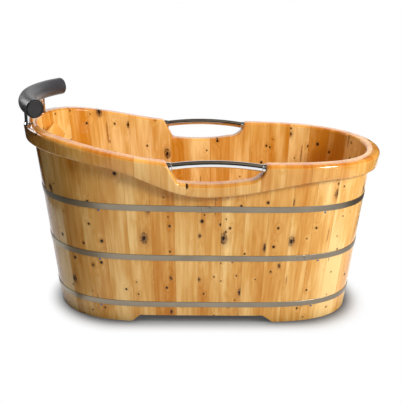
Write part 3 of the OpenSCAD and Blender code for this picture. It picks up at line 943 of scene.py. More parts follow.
@dataclass(frozen=True)
class Wood:
    """A clear-varnished cedar whose grain runs along v of the grain coordinates.

    The whole number in u tells one board from the next.

    Attributes:
        name: name of the material.
        pale: colour of the early wood.
        deep: colour of the late wood.
        board_w: width of a board, in metres.
        gloss: roughness of the wood below the varnish.
        varnish: weight of the varnish.
        knots: how rich in knots it is.
        variety: how far the boards' tones differ.
        run: where the grain coordinates come from.
        first: number of the first board.
    """

    name: str
    pale: Colour
    deep: Colour
    board_w: float = 0.1
    gloss: float = 0.16
    varnish: float = 0.35
    knots: float = 1.0
    variety: float = 0.24
    run: Run = Run.STORED
    first: float = 0.0

    def build(self) -> Material:
        """Builds the node material.

        Returns:
            The material.
        """
        g = Graph(bpy.data.materials.new(self.name))
        u, v = self.coordinates(g)
        number = g.math("FLOOR", u)
        seed = g.node("ShaderNodeTexWhiteNoise", noise_dimensions="1D", W=number)
        tint, richness, stripes = g.node("ShaderNodeSeparateColor", Color=seed.outputs["Color"]).outputs
        place = self.place(g, u, v, number)
        plenty = g.math("ADD", g.math("MULTIPLY", richness, 1.5 * self.knots), 0.25 * self.knots)
        kinds = (PINS, SWIRLS, EYES, VEINS)
        pins, swirls, eyes, veins = [self.marks(g, place, kind, plenty) for kind in kinds]
        fine = self.streaks(g, place, FINE)
        push = g.math("ADD", pins.push, swirls.push)
        tone = self.tone(g, place, tint, stripes, push, fine)
        stops = [(PALE_TONE, self.pale), (MIDDLE_TONE, self.middle()), (DEEP_TONE, self.deep)]
        colour = g.ramp(tone, stops)
        ragged = g.span(self.streaks(g, place, TORN), 0.44, 0.60, 0.45, 1.0)
        eye = g.math("MAXIMUM", pins.core, eyes.core)
        halo = g.math("MINIMUM", g.blend((pins.halo, 1.0), (swirls.halo, 0.6)), HALO_SHARE)
        colour = g.stain(halo, colour, HALO_STAIN)
        colour = g.stain(g.math("MULTIPLY", veins.core, VEIN_SHARE), colour, VEIN_STAIN)
        colour = g.stain(g.math("MULTIPLY", swirls.core, ragged), colour, SWIRL_STAIN)
        colour = g.stain(eye, colour, EYE_STAIN)
        bump = g.node("ShaderNodeBump", Strength=0.10, Distance=0.0006, Height=fine)
        g.surface({
            "Base Color": colour,
            "Roughness": g.math("ADD", g.math("MULTIPLY", fine, 0.10), self.gloss),
            "Normal": bump.outputs[0],
            "Specular IOR Level": 0.15,
            "Coat Weight": g.math("MULTIPLY", g.math("SUBTRACT", 1.0, eye), self.varnish),
            "Coat Roughness": 0.05,
        })
        return g.owner

    def coordinates(self, g: Graph) -> tuple[NodeSocket, NodeSocket]:
        """Grain coordinates.

        Args:
            g: the graph.

        Returns:
            The board's number plus the share of its width, and metres along the grain.
        """
        if self.run is Run.STORED:
            uv = g.node("ShaderNodeUVMap", uv_map="grain")
            parts = g.node("ShaderNodeSeparateXYZ", Vector=uv.outputs["UV"]).outputs
            return parts[0], parts[1]
        where = g.node("ShaderNodeTexCoord")
        x, y, z = g.node("ShaderNodeSeparateXYZ", Vector=where.outputs["Object"]).outputs
        along, cross = (x, y) if self.run is Run.ALONG_X else (y, x)
        tilted = g.math("ADD", cross, g.math("MULTIPLY", z, 0.1))
        return g.math("ADD", g.math("DIVIDE", tilted, self.board_w), self.first), along

    def place(self, g: Graph, u: NodeSocket, v: NodeSocket, number: NodeSocket) -> NodeSocket:
        """Place in the timber that the board was cut from, far apart for each board.

        Args:
            g: the graph.
            u: the board's number plus the share of its width.
            v: metres along the grain.
            number: the board's number.

        Returns:
            The place, in metres.
        """
        across = g.math("MULTIPLY", g.math("FRACT", u), self.board_w)
        x = g.math("ADD", across, g.math("MULTIPLY", number, BOARD_STEP_X))
        z = g.math("MULTIPLY", number, BOARD_STEP_Z)
        return g.node("ShaderNodeCombineXYZ", X=x, Y=v, Z=z).outputs[0]

    def tone(self, g: Graph, place: NodeSocket, tint: NodeSocket, stripes: NodeSocket, push: NodeSocket,
             fine: NodeSocket) -> NodeSocket:
        """How deep the wood's colour is.

        Args:
            g: the graph.
            place: place in the timber.
            tint: the board's own tone, from 0 to 1.
            stripes: how striped the board is, from 0 to 1.
            push: how far knots push the rings aside.
            fine: level of the fine grain.

        Returns:
            The tone, about 0.7 for pale wood and 1.2 for deep wood.
        """
        striped = g.math("ADD", g.math("MULTIPLY", stripes, 0.5), 0.1)
        band = g.math("MULTIPLY", self.streaks(g, place, BAND), striped)
        rings = g.blend((self.streaks(g, place, DRIFT), 7.0), (push, 1.6))
        swing = g.math("SINE", g.math("MULTIPLY", rings, 2 * math.pi))
        wave = g.math("ADD", g.math("MULTIPLY", swing, 0.5), 0.5)
        level = 0.05 + 1.35 * (COMMON_VARIETY - self.variety)
        broad = (self.streaks(g, place, BROAD), 0.6 + 1.7 * self.variety)
        total = g.blend((tint, self.variety), broad, (band, 1.0), (wave, 0.09), (fine, 0.10))
        return g.math("ADD", total, level)

    def middle(self) -> Colour:
        """Colour between the pale and the deep tone, a little nearer the deep one."""
        return tuple(((math.sqrt(a) + math.sqrt(b)) / 2) ** 2 for a, b in zip(self.pale, self.deep))

    @staticmethod
    def streaks(g: Graph, place: NodeSocket, streak: Streak) -> NodeSocket:
        """Level of a noise drawn out along the grain, from 0 to 1."""
        return g.noise(g.vector("MULTIPLY", place, (streak.across, streak.along, 1.0)), 1.0, 3.5, 0.55)

    @staticmethod
    def marks(g: Graph, place: NodeSocket, scatter: Scatter, plenty: NodeSocket) -> Knots:
        """Knots or other marks scattered over the board.

        Args:
            g: the graph.
            place: place in the timber.
            scatter: how many there are, and their size and form.
            plenty: how rich in knots this board is, about 1 on average.

        Returns:
            The layer's levels.
        """
        wobble = g.node("ShaderNodeTexNoise", Vector=place, Scale=90.0, Detail=2.0, Roughness=0.6)
        centred = g.vector("SUBTRACT", wobble.outputs["Color"], (0.5, 0.5, 0.5))
        shift = g.node("ShaderNodeVectorMath", operation="SCALE", in_0=centred, Scale=scatter.wobble)
        moved = g.vector("ADD", place, shift.outputs[0])
        cell = g.vector("MULTIPLY", moved, (scatter.cells, scatter.cells * scatter.stretch, 1.0))
        grid = g.node("ShaderNodeTexVoronoi", voronoi_dimensions="2D", Vector=cell, Scale=1.0)
        luck = g.node("ShaderNodeSeparateColor", Color=grid.outputs["Color"]).outputs
        present = g.math("LESS_THAN", luck[0], g.math("MULTIPLY", plenty, scatter.share))
        squared = g.math("POWER", luck[1], 2.0)
        size = g.math("ADD", g.math("MULTIPLY", squared, scatter.spread), scatter.small)
        near = g.math("DIVIDE", grid.outputs["Distance"], size)
        falls = [g.span(near, fall.start, fall.end, fall.level, 0.0) for fall in (CORE, HALO, PUSH)]
        return Knots(*[g.math("MULTIPLY", fall, present) for fall in falls])


def shaded(colour: Colour, factor: float) -> Colour:
    """A colour made lighter or darker by a factor, white at most."""
    return tuple(min(1.0, c * factor) for c in colour)


@dataclass(frozen=True)
class Metal:
    """A bare metal, or paint on one, with faint rolled or polished marks.

    Attributes:
        name: name of the material.
        colour: its colour.
        roughness: its roughness between the marks.
        marks: how strong the marks are.
        stretch: how fine the marks are along x, y and z, per metre.
        metallic: 1 for bare metal, 0 for paint.
    """

    name: str
    colour: Colour
    roughness: float
    marks: float = 0.05
    stretch: tuple[float, float, float] = (40.0, 40.0, 400.0)
    metallic: float = 1.0

    def build(self) -> Material:
        """Builds the node material.

        Returns:
            The material.
        """
        g = Graph(bpy.data.materials.new(self.name))
        where = g.node("ShaderNodeTexCoord").outputs["Object"]
        lines = g.noise(g.vector("MULTIPLY", where, self.stretch), 1.0, 4.0, 0.6)
        blotch = g.noise(where, 9.0, 3.0, 0.5)
        low = shaded(self.colour, 1 - 2.5 * self.marks)
        high = shaded(self.colour, 1 + 1.5 * self.marks)
        bump = g.node("ShaderNodeBump", Strength=self.marks, Distance=0.0003, Height=lines)
        g.surface({
            "Base Color": g.ramp(g.blend((lines, 0.5), (blotch, 0.5)), [(0.3, low), (0.7, high)]),
            "Roughness": g.math("ADD", g.math("MULTIPLY", lines, self.marks * 2), self.roughness),
            "Normal": bump.outputs[0],
            "Metallic": self.metallic,
        })
        return g.owner


@dataclass(frozen=True)
class Foam:
    """Closed-cell foam, rubber or moulded plastic with fine pores.

    Attributes:
        name: name of the material.
        colour: its colour.
        roughness: its least roughness.
        pores: how deep the pores look.
        sheen: weight of the soft sheen.
    """

    name: str
    colour: Colour
    roughness: float
    pores: float = 0.35
    sheen: float = 0.25

    def build(self) -> Material:
        """Builds the node material.

        Returns:
            The material.
        """
        g = Graph(bpy.data.materials.new(self.name))
        where = g.node("ShaderNodeTexCoord").outputs["Object"]
        cells = g.node("ShaderNodeTexVoronoi", Vector=where, Scale=520.0).outputs["Distance"]
        cloud = g.noise(where, 40.0, 4.0, 0.6)
        low = shaded(self.colour, 0.75)
        high = shaded(self.colour, 1.3)
        bump = g.node("ShaderNodeBump", Strength=self.pores, Distance=0.0004, Height=cells)
        g.surface({
            "Base Color": g.ramp(g.blend((cells, 0.4), (cloud, 0.6)), [(0.25, low), (0.75, high)]),
            "Roughness": g.math("ADD", g.math("MULTIPLY", cloud, 0.12), self.roughness),
            "Normal": bump.outputs[0],
            "Sheen Weight": self.sheen,
            "Sheen Roughness": 0.4,
        })
        return g.owner


class Finishes:
    """All the object's materials, built once."""

    def __init__(self) -> None:
        """Builds each material."""
        cedar = Wood("cedar_stave", pale=(0.93, 0.61, 0.235), deep=(0.58, 0.205, 0.012))
        rim = replace(cedar, name="cedar_rim", gloss=0.10, varnish=0.8, knots=0.35, variety=0.05)
        end_grain = Wood("cedar_end_grain", pale=(0.84, 0.43, 0.10), deep=(0.48, 0.135, 0.008), gloss=0.10,
                         varnish=1.0, knots=0.3, variety=0.12)
        board = replace(cedar, name="cedar_board", board_w=0.0996, gloss=0.3, varnish=0.3, knots=0.5,
                        run=Run.ALONG_X, first=20.5)
        bearer = replace(cedar, name="cedar_cross_board", board_w=0.5, gloss=0.12, varnish=0.7, knots=0.5,
                         run=Run.ALONG_Y, first=30.3)
        hoop = Metal("hoop_steel", (0.315, 0.27, 0.205), 0.22, 0.10, (12.0, 12.0, 900.0))
        self.stave: Material = cedar.build()
        self.rim: Material = rim.build()
        self.end_grain: Material = end_grain.build()
        self.board: Material = board.build()
        self.bearer: Material = bearer.build()
        self.hoop: Material = hoop.build()
        self.chrome: Material = Metal("chrome_fitting", (0.83, 0.84, 0.85), 0.055, 0.015).build()
        self.ferrule: Material = Metal("chrome_ferrule", (0.90, 0.90, 0.91), 0.16, 0.02).build()
        self.foam: Material = Foam("headrest_foam", (0.034, 0.033, 0.037), 0.34).build()
        self.cap: Material = Foam("headrest_cap", (0.012, 0.012, 0.013), 0.45, pores=0.1, sheen=0.0).build()
        self.tube: Material = Metal("headrest_tube", (0.55, 0.55, 0.56), 0.3).build()
        self.brass: Material = Metal("drain_brass", (0.72, 0.58, 0.30), 0.22, 0.06).build()
        self.seal: Material = Foam("drain_rubber", (0.02, 0.02, 0.02), 0.6, pores=0.2, sheen=0.0).build()
        self.stop: Material = Metal("stop_paint", (0.015, 0.11, 0.36), 0.45, 0.06, metallic=0.0).build()


@dataclass
class SubAssembly:
    """One sub-assembly, fitted to the tub's shape.

    Attributes:
        shape: the tub's shape.
    """

    shape: TubShape

    def build(self, finishes: Finishes) -> list[Object]:
        """Builds the sub-assembly's pieces, each kind in its own way."""
        raise NotImplementedError


@dataclass
class BoardRing(SubAssembly):
    """A ring of boards lofted column by column, with softened edges at the joints.

    Attributes:
        joint_r: how far the faces draw in at a joint.
        flats: even steps across a board.
        shift: shift of the joints against those of the staves, as a share of a stave.
        arches: whether the cut-outs between the feet shape the boards.
        first_board: number of the first board in the grain coordinates.
        grain_sign: sign with which the offset adds to the length along the grain.
    """

    joint_r: float = 0.6
    flats: int = 8
    shift: float = 0.0
    arches: bool = True
    first_board: int = 0
    grain_sign: int = -1

    def outline(self, t: float, shrink: float) -> Outline:
        """Outline of a board at angle t, drawn in by shrink, each kind in its own way."""
        raise NotImplementedError

    def stations(self, cols: list[float]) -> list[Pair]:
        """Columns of a board with how far the faces draw in at each.

        Args:
            cols: angles of the columns, from one joint to the next.

        Returns:
            Angles and shrinks.
        """
        lead = (cols[-1] - cols[0]) * self.joint_r / self.shape.stave_w
        first = [(cols[0], self.joint_r), (cols[0] + lead, 0.0)]
        last = [(cols[-1] - lead, 0.0), (cols[-1], self.joint_r)]
        return first + [(t, 0.0) for t in cols[1:-1]] + last

    def boards(self) -> MeshBuffer:
        """Lofts every board of the ring.

        Returns:
            The boards with their grain coordinates.
        """
        buffer = MeshBuffer()
        for i in range(self.shape.stave_count):
            cols = self.shape.columns(i, self.flats, self.shift, self.arches)
            rings = []
            uvs = []
            for t, shrink in self.stations(cols):
                pts = self.outline(t, shrink)
                share = (1 - 2 * BOARD_MARGIN) * (t - cols[0]) / (cols[-1] - cols[0])
                u = self.first_board + i + BOARD_MARGIN + share
                rings.append([self.shape.spot(t, off, z) for off, z in pts])
                uvs.append([(u, (z + self.grain_sign * off) * MM) for off, z in pts])
            buffer.loft(rings, uvs)
        return buffer


@dataclass
class StaveWall(BoardRing):
    """The ring of staves, each with a rounded rim and the floor groove.

    Attributes:
        inner_r: rounding of the rim's inner edge.
        inner_steps: number of segments of that rounding.
        face_steps: number of segments down a face.
    """

    inner_r: float = 10
    inner_steps: int = 5
    face_steps: int = 5

    def outline(self, t: float, shrink: float) -> Outline:
        """Outline of a stave.

        Args:
            t: angle round the oval, in degrees.
            shrink: how far its faces draw in.

        Returns:
            Offsets and heights, up the outer face and down the inner one.
        """
        s = self.shape
        top = s.top_z(t) - shrink
        low = s.bottom_z(t) + shrink
        inner = -s.stave_t + shrink
        groove = s.groove_d - s.stave_t
        floor_low = s.floor_z - s.seat_gap
        floor_top = s.floor_z + s.floor_t + s.seat_gap
        outer_zs = np.linspace(low, top, self.face_steps + 1)
        inner_zs = np.linspace(top - self.inner_r, floor_top, self.face_steps + 1)
        pts = [(-shrink, float(z)) for z in outer_zs]
        pts += quarter(inner, top, self.inner_r, False, self.inner_steps)
        pts += [(inner, float(z)) for z in inner_zs[1:]]
        return pts + [(groove, floor_top), (groove, floor_low), (inner, floor_low), (inner, low)]

    def build(self, finishes: Finishes) -> list[Object]:
        """Builds the staves as one piece.

        Args:
            finishes: the materials.

        Returns:
            The piece.
        """
        nodes = ["stave_%02d" % (i + 1) for i in range(self.shape.stave_count)]
        piece = Piece("staves")
        return [piece.build(self.boards(), finishes.stave, Slot.STAVE, nodes, finishes.end_grain)]


@dataclass
class RimCollar(BoardRing):
    """The ring of thick blocks round the rim, staggered against the staves.

    Attributes:
        shift: half a stave.
        arches: false, as the collar ends above them.
        first_board: number of the first block in the grain coordinates.
        grain_sign: sign with which the offset adds to the length along the grain.
        outer_r: rounding of the rim's outer edge.
        outer_steps: number of segments of that rounding.
        lower_r: rounding of the lower edge.
        lower_steps: number of segments of that rounding.
        face_steps: number of segments up the outer face.
    """

    shift: float = 0.5
    arches: bool = False
    first_board: int = 120
    grain_sign: int = 1
    outer_r: float = 16
    outer_steps: int = 7
    lower_r: float = 5
    lower_steps: int = 3
    face_steps: int = 3

    def outline(self, t: float, shrink: float) -> Outline:
        """Outline of the collar.

        Args:
            t: angle round the oval, in degrees.
            shrink: how far its faces draw in.

        Returns:
            Offsets and heights, along the lower edge and up the outer face.
        """
        s = self.shape
        top = s.top_z(t) - shrink
        low = s.collar_z(s.x_at(t)) + shrink
        out = s.collar_t - shrink
        r = self.lower_r
        pts = [(s.seat_gap, low)]
        for a in np.linspace(0, math.pi / 2, self.lower_steps + 1):
            pts.append((out - r + r * math.sin(a), low + r - r * math.cos(a)))
        for z in np.linspace(low + r, top - self.outer_r, self.face_steps + 1)[1:-1]:
            pts.append((out, float(z)))
        return pts + quarter(out, top, self.outer_r, True, self.outer_steps) + [(s.seat_gap, top)]

    def build(self, finishes: Finishes) -> list[Object]:
        """Builds the blocks as one piece.

        Args:
            finishes: the materials.

        Returns:
            The piece.
        """
        nodes = ["rim_collar_foot", "rim_collar_left", "rim_collar_head", "rim_collar_right"]
        piece = Piece("rim_collar")
        return [piece.build(self.boards(), finishes.rim, Slot.RIM, nodes, finishes.end_grain)]


@dataclass(frozen=True)
class Band:
    """One hoop's place, in millimetres.

    Attributes:
        node: its CAD node.
        z: height of its lower edge.
        lap_x: place of its lap along the tub.
        lap_side: long side on which the lap lies.
    """

    node: str
    z: float
    lap_x: float
    lap_side: Side


BANDS = (
    Band("hoop_bottom", 82, 0, Side.LEFT),
    Band("hoop_middle", 320, 387, Side.RIGHT),
    Band("hoop_top", 553, -34, Side.RIGHT),
)


@dataclass
class Hoops(SubAssembly):
    """Three steel hoops with lapped ends, their rivets and the stops below them.

    Attributes:
        width: height of a hoop's face.
        thick: thickness of the strip.
        lap: how far its end reaches over its start.
        joggle: length of the step up to the lap.
        joggle_steps: number of segments in the step.
        lap_gap: room between the two layers.
        edge: rounding of the strip's edges.
        slant: how far the lap's end leans along the hoop.
        taper: length over which the lap's end thins.
        thin: thickness of the lap's end.
        station: length of one segment round the tub.
        lap_stations: columns along the lap.
        rivets: places of the rivets, as shares of the lap.
        rivet_r: radius of a rivet's head.
        rivet_h: height of a rivet's head.
        stop_r: radius of a stop.
        stop_h: how far a stop stands out.
        stop_drop: how far a stop's middle lies below the hoop.
        stop_xs: places of the stops along the tub.
        dome: heights of a dome's rings, as shares of its own.
        dome_sides: number of sides of a dome.
    """

    width: float = 27
    thick: float = 1.6
    lap: float = 62
    joggle: float = 8
    joggle_steps: int = 4
    lap_gap: float = 0.2
    edge: float = 0.5
    slant: float = 16
    taper: float = 5
    thin: float = 0.5
    station: float = 11
    lap_stations: int = 7
    rivets: tuple[float, ...] = (0.25, 0.75)
    rivet_r: float = 4.5
    rivet_h: float = 2.4
    stop_r: float = 4
    stop_h: float = 4
    stop_drop: float = 6.5
    stop_xs: tuple[float, ...] = (-440, 497)
    dome: tuple[float, ...] = (0.0, 0.35, 0.7, 0.92, 0.995)
    dome_sides: int = 20

    def rows(self) -> list[tuple[float, float, float, float]]:
        """Cross-sections along a hoop.

        Returns:
            For each the distance from its start, the offset, the thickness and the slant.
        """
        s = self.shape
        low = s.seat_gap
        high = low + self.thick + self.lap_gap
        step = s.girth - self.joggle
        rows = [(d, low, self.thick, 0.0) for d in np.arange(0, step, self.station)]
        for k in range(self.joggle_steps):
            f = k / self.joggle_steps
            rows.append((step + self.joggle * f, low + (high - low) * ease(f), self.thick, 0.0))
        for d in np.linspace(0, self.lap - self.taper, self.lap_stations):
            rows.append((s.girth + d, high, self.thick, self.slant * d / self.lap))
        return rows + [(s.girth + self.lap, high, self.thin, self.slant)]

    def strip(self, z: float, start: float) -> MeshBuffer:
        """One hoop as a closed strip with eased edges.

        Args:
            z: height of its lower edge.
            start: angle at which it begins.

        Returns:
            The strip.
        """
        s = self.shape
        s0 = s.s_at(start)
        e = self.edge
        rings = []
        for d, off, thick, slant in self.rows():
            face = off + thick
            eased = face - min(e, thick / 2)
            pts = [(off, 0), (eased, 0), (face, e), (face, self.width / 2), (face, self.width - e),
                   (eased, self.width), (off, self.width)]
            rings.append([s.spot(s.t_at(s0 + d - slant * h / self.width), q, z + h) for q, h in pts])
        buffer = MeshBuffer()
        buffer.loft(rings)
        return buffer

    def head(self, buffer: MeshBuffer, at: tuple[float, float, float], r: float, h: float) -> None:
        """Adds a domed head standing on the wall.

        Args:
            buffer: where it goes.
            at: its angle round the oval, offset and height.
            r: its radius.
            h: how far it stands out.
        """
        t, off, z = at
        here = Vector(self.shape.at(t, off, z))
        up = (Vector(self.shape.at(t, off, z + PROBE_Z)) - here).normalized()
        side = (Vector(self.shape.at(t + PROBE_T, off, z)) - here).normalized()
        out = side.cross(up).normalized()
        rings = []
        for f in self.dome:
            centre = (here + out * (h * f)) * MM
            rings.append(circle(centre, side, up, r * math.sqrt(1 - f * f) * MM, self.dome_sides))
        buffer.loft(rings)

    def build(self, finishes: Finishes) -> list[Object]:
        """Builds the hoops, rivets and stops.

        Args:
            finishes: the materials.

        Returns:
            The pieces.
        """
        s = self.shape
        pieces = []
        rivets = MeshBuffer()
        stops = MeshBuffer()
        on_lap = s.seat_gap + 2 * (self.thick + self.lap_gap)
        for band in BANDS:
            start = s.side_t(band.lap_x, band.z, band.lap_side)
            piece = Piece(band.node + "_strip")
            pieces.append(piece.build(self.strip(band.z, start), finishes.hoop, Slot.HOOP, [band.node]))
            for f in self.rivets:
                t = s.t_at(s.s_at(start) + self.lap * f)
                self.head(rivets, (t, on_lap, band.z + self.width / 2), self.rivet_r, self.rivet_h)
            for x in self.stop_xs:
                for side in Side:
                    place = (s.side_t(x, band.z, side), s.seat_gap, band.z - self.stop_drop)
                    self.head(stops, place, self.stop_r, self.stop_h)
        pieces.append(Piece("hoop_rivets").build(rivets, finishes.hoop, Slot.HOOP, ["hoop_fasteners"]))
        pieces.append(Piece("hoop_stops").build(stops, finishes.stop, Slot.HOOP, []))
        return pieces


@dataclass(frozen=True)
class Arc:
    """An upright arc along the tub, in millimetres, with angles from its top.

    Attributes:
        x: place of its middle along the tub.
        y: its place across the tub.
        top: height of its top.
        radius: its radius.
        reach: angle from its top to each end.
    """

    x: float
    y: float
    top: float
    radius: float
    reach: float

    def point(self, a: float) -> Vector:
        """Point at angle a, in metres."""
        low = self.radius * (1 - math.cos(a))
        return Vector((self.x + self.radius * math.sin(a), self.y, self.top - low)) * MM


@dataclass
class GrabBars(SubAssembly):
    """The two bent chrome bars across the notches, with a ferrule at each end.

    Attributes:
        bar_r: radius of a bar.
        bar_short: how far a bar's end stops short of the notch's end.
        bar_steps: number of points along a bar.
        drop: how far the ends' middle lies below the foot rim.
        rise: how far the bar's middle lies above its ends.
        ferrule_r: radius of a ferrule.
        ferrule_l: length of a ferrule.
        foot_t: thickness of the ferrule's foot.
        play: room between a ferrule and the wood, beyond the seat gap.
        sides: number of sides of the bars and ferrules.
    """

    bar_r: float = 14.5
    bar_short: float = 3.4
    bar_steps: int = 48
    drop: float = 19
    rise: float = 15
    ferrule_r: float = 17
    ferrule_l: float = 12
    foot_t: float = 3
    play: float = 0.3
    sides: int = 48

    def arc(self, side: Side) -> Arc:
        """Centre line of a bar.

        Args:
            side: long side of the tub.

        Returns:
            The arc from one end of the notch to the other.
        """
        s = self.shape
        z = s.foot_rim_h - self.drop
        head_x = s.notch_end_x(End.HEAD, z)
        foot_x = s.notch_end_x(End.FOOT, z)
        half = (foot_x - head_x) / 2
        radius = (half ** 2 + self.rise ** 2) / (2 * self.rise)
        y = side.value * (s.half_w(z) + (s.collar_t - s.stave_t) / 2)
        return Arc((foot_x + head_x) / 2, y, z + self.rise, radius, math.asin(half / radius))

    def ferrule(self, buffer: MeshBuffer, arc: Arc, end: End) -> None:
        """Adds one ferrule, a cup with a rolled lip and a wider foot against the notch's end.

        Args:
            buffer: where it goes.
            arc: centre line of the bar.
            end: which end of the bar.
        """
        foot = self.ferrule_r + 1.0
        neck = self.ferrule_r - 0.6
        lip = self.ferrule_r + 0.2
        mouth = self.bar_r + 0.3
        length = self.ferrule_l
        rows = [(0.0, foot), (self.foot_t, foot), (self.foot_t + 1.2, foot - 0.6), (self.foot_t + 2, neck)]
        rows += [(length - 2.5, neck), (length - 1.6, lip), (length - 0.8, lip - 0.6)]
        rows += [(length, mouth + 0.05), (length - 1.0, mouth)]
        path = [arc.point(end.value * (arc.reach - d / arc.radius)) for d, _ in rows]
        across = Vector((0, 1, 0))
        square = (path[4] - path[3]).normalized().cross(across).normalized()
        rings = []
        for (d, r), p in zip(rows, path):
            row = circle(p, across, square, r * MM, self.sides)
            if d <= self.foot_t:
                row = [self.to_wall(q, end, d) for q in row]
            rings.append(row)
        buffer.loft(rings)

    def to_wall(self, q: Vector, end: End, d: float) -> Vector:
        """Moves a point of a ferrule's foot along the tub to the notch's end wall.

        Args:
            q: the point, in metres.
            end: which end of the notch.
            d: how far it should lie from the foot's back.

        Returns:
            The moved point.
        """
        room = self.shape.seat_gap + self.play + d
        x = self.shape.notch_end_x(end, q.z / MM) - end.value * room
        return Vector((x * MM, q.y, q.z))

    def build(self, finishes: Finishes) -> list[Object]:
        """Builds the bars and ferrules.

        Args:
            finishes: the materials.

        Returns:
            The pieces.
        """
        pieces = []
        ferrules = MeshBuffer()
        for side, node in ((Side.LEFT, "grab_bar_left"), (Side.RIGHT, "grab_bar_right")):
            arc = self.arc(side)
            reach = arc.reach - self.bar_short / arc.radius
            bar = MeshBuffer()
            path = [arc.point(a) for a in np.linspace(-reach, reach, self.bar_steps)]
            bar.tube(path, self.bar_r * MM, self.sides)
            pieces.append(Piece(node + "_tube").build(bar, finishes.chrome, Slot.CHROME, [node]))
            for end in End:
                self.ferrule(ferrules, arc, end)
        piece = Piece("grab_bar_ferrule_set")
        pieces.append(piece.build(ferrules, finishes.ferrule, Slot.CHROME, ["grab_bar_ferrules"]))
        return pieces


@dataclass
class Headrest(SubAssembly):
    """The foam roll, its end caps, the two posts and their bases.

    Attributes:
        roll_r: radius of the roll.
        roll_steps: number of sections along the roll, its ends left out.
        roll_sides: number of sides of the roll.
        bend_r: radius of the roll's bend.
        half_angle: half the angle that the roll covers.
        rise: height of the roll's middle above the head rim.
        end_r: rounding of the roll's ends.
        end_steps: number of segments of that rounding.
        end_open: how far the end's flat part reaches in.
        skin: how far the skin lies within the roll's radius.
        core_r: radius of the tube in the roll.
        post_r: radius of a post.
        post_wall: thickness of a post's wall.
        post_play: room between a post and its spigot.
        post_sink: how far a post's top stops below the tube in the roll.
        post_span: distance between the posts.
        setback: distance of the posts from the head end.
        turn: how far the headrest is turned.
        base_r: radius of a base.
        base_h: height of a base.
        spigot_h: height of a spigot.
        cap_t: thickness of an end cap.
        cap_margin: how much smaller than the roll a cap is.
        cap_sides: number of sides of a cap.
        post_sides: number of sides of the posts and bases.
    """

    roll_r: float = 37
    roll_steps: int = 70
    roll_sides: int = 64
    bend_r: float = 380
    half_angle: float = 37
    rise: float = 94
    end_r: float = 5
    end_steps: int = 6
    end_open: float = 6
    skin: float = 0.4
    core_r: float = 11
    post_r: float = 17
    post_wall: float = 1.5
    post_play: float = 0.4
    post_sink: float = 2
    post_span: float = 210
    setback: float = 46
    turn: float = 4
    base_r: float = 21
    base_h: float = 7
    spigot_h: float = 40
    cap_t: float = 4
    cap_margin: float = 4
    cap_sides: int = 48
    post_sides: int = 64

    def place(self, p: Vector) -> Vector:
        """Moves a point of the headrest's own frame to the tub's.

        Args:
            p: the point, in millimetres, from the middle between the posts.

        Returns:
            The point, in metres.
        """
        moved = Matrix.Rotation(math.radians(-self.turn), 3, "Z") @ p
        moved.x += self.setback - self.shape.rim_l / 2
        return moved * MM

    def roll_point(self, a: float, r: float = 0, w: float = 0) -> Vector:
        """Point in or on the roll.

        Args:
            a: angle along the bend.
            r: distance from the roll's middle.
            w: angle round the roll's section.

        Returns:
            The point, in metres.
        """
        bend_x = math.sqrt(self.bend_r ** 2 - (self.post_span / 2) ** 2)
        reach = self.bend_r + r * math.cos(w)
        z = self.shape.head_rim_h + self.rise + r * math.sin(w)
        return self.place(Vector((bend_x - reach * math.cos(a), reach * math.sin(a), z)))

    def skin_r(self, a: float, r: float, w: float) -> float:
        """Radius of the faintly uneven skin, at angles a along the roll and w round it."""
        uneven = 0.35 * math.sin(9 * a) + 0.25 * math.sin(23 * a + 1.0)
        return r - self.skin + 0.5 * uneven * math.cos(2 * w + 3 * a)

    def roll(self) -> MeshBuffer:
        """Lofts the foam roll, with rounded ends.

        Returns:
            The roll.
        """
        reach = math.radians(self.half_angle)
        end_a = self.end_r / self.bend_r
        start = [(-reach, self.roll_r - self.end_r - self.end_open)]
        for q in np.linspace(0, math.pi / 2, self.end_steps + 1):
            rest = 1 - math.sin(q)
            start.append((-reach + end_a * rest, self.roll_r - self.end_r * rest))
        even = reach - 2 * end_a
        middle = [(a, self.roll_r) for a in np.linspace(-even, even, self.roll_steps)]
        rows = start + middle + [(-a, r) for a, r in reversed(start)]
        turns = np.linspace(0, 2 * math.pi, self.roll_sides, endpoint=False)
        buffer = MeshBuffer()
        buffer.loft([[self.roll_point(a, self.skin_r(a, r, w), w) for w in turns] for a, r in rows])
        return buffer

    def caps(self) -> MeshBuffer:
        """Lofts the two moulded end caps, dished a little, with a rounded rim.

        Returns:
            The caps.
        """
        t = self.cap_t
        r = self.roll_r - self.cap_margin
        dish = 0.55 * t
        rows = [(0.3, r), (dish, r), (0.85 * t, r - 0.8), (t, r - 2.2), (t, r - 4.5)]
        rows += [(0.6 * t, r - 6.5), (dish, 5), (dish, 2)]
        up = Vector((0, 0, 1))
        buffer = MeshBuffer()
        for end in (-1, 1):
            a = end * math.radians(self.half_angle)
            centre = self.roll_point(a)
            ahead = (self.roll_point(a + end * PROBE_A) - centre).normalized()
            side = ahead.cross(up).normalized()
            places = [(centre + ahead * (d * MM), q * MM) for d, q in rows]
            buffer.loft([circle(p, side, up, q, self.cap_sides) for p, q in places])
        return buffer

    def post_profile(self) -> Outline:
        """Radii and heights of a post, with an eased foot.

        Returns:
            The profile from the bottom up.
        """
        r = self.post_r
        low = self.shape.head_rim_h + self.base_h + 2 * self.shape.seat_gap
        top = self.shape.head_rim_h + self.rise - self.core_r - self.post_sink
        foot = [(r - 1.4, low + 0.2), (r - 0.5, low), (r, low + 0.6)]
        return foot + [(r, low + 12), (r, top - 10), (r, top)]

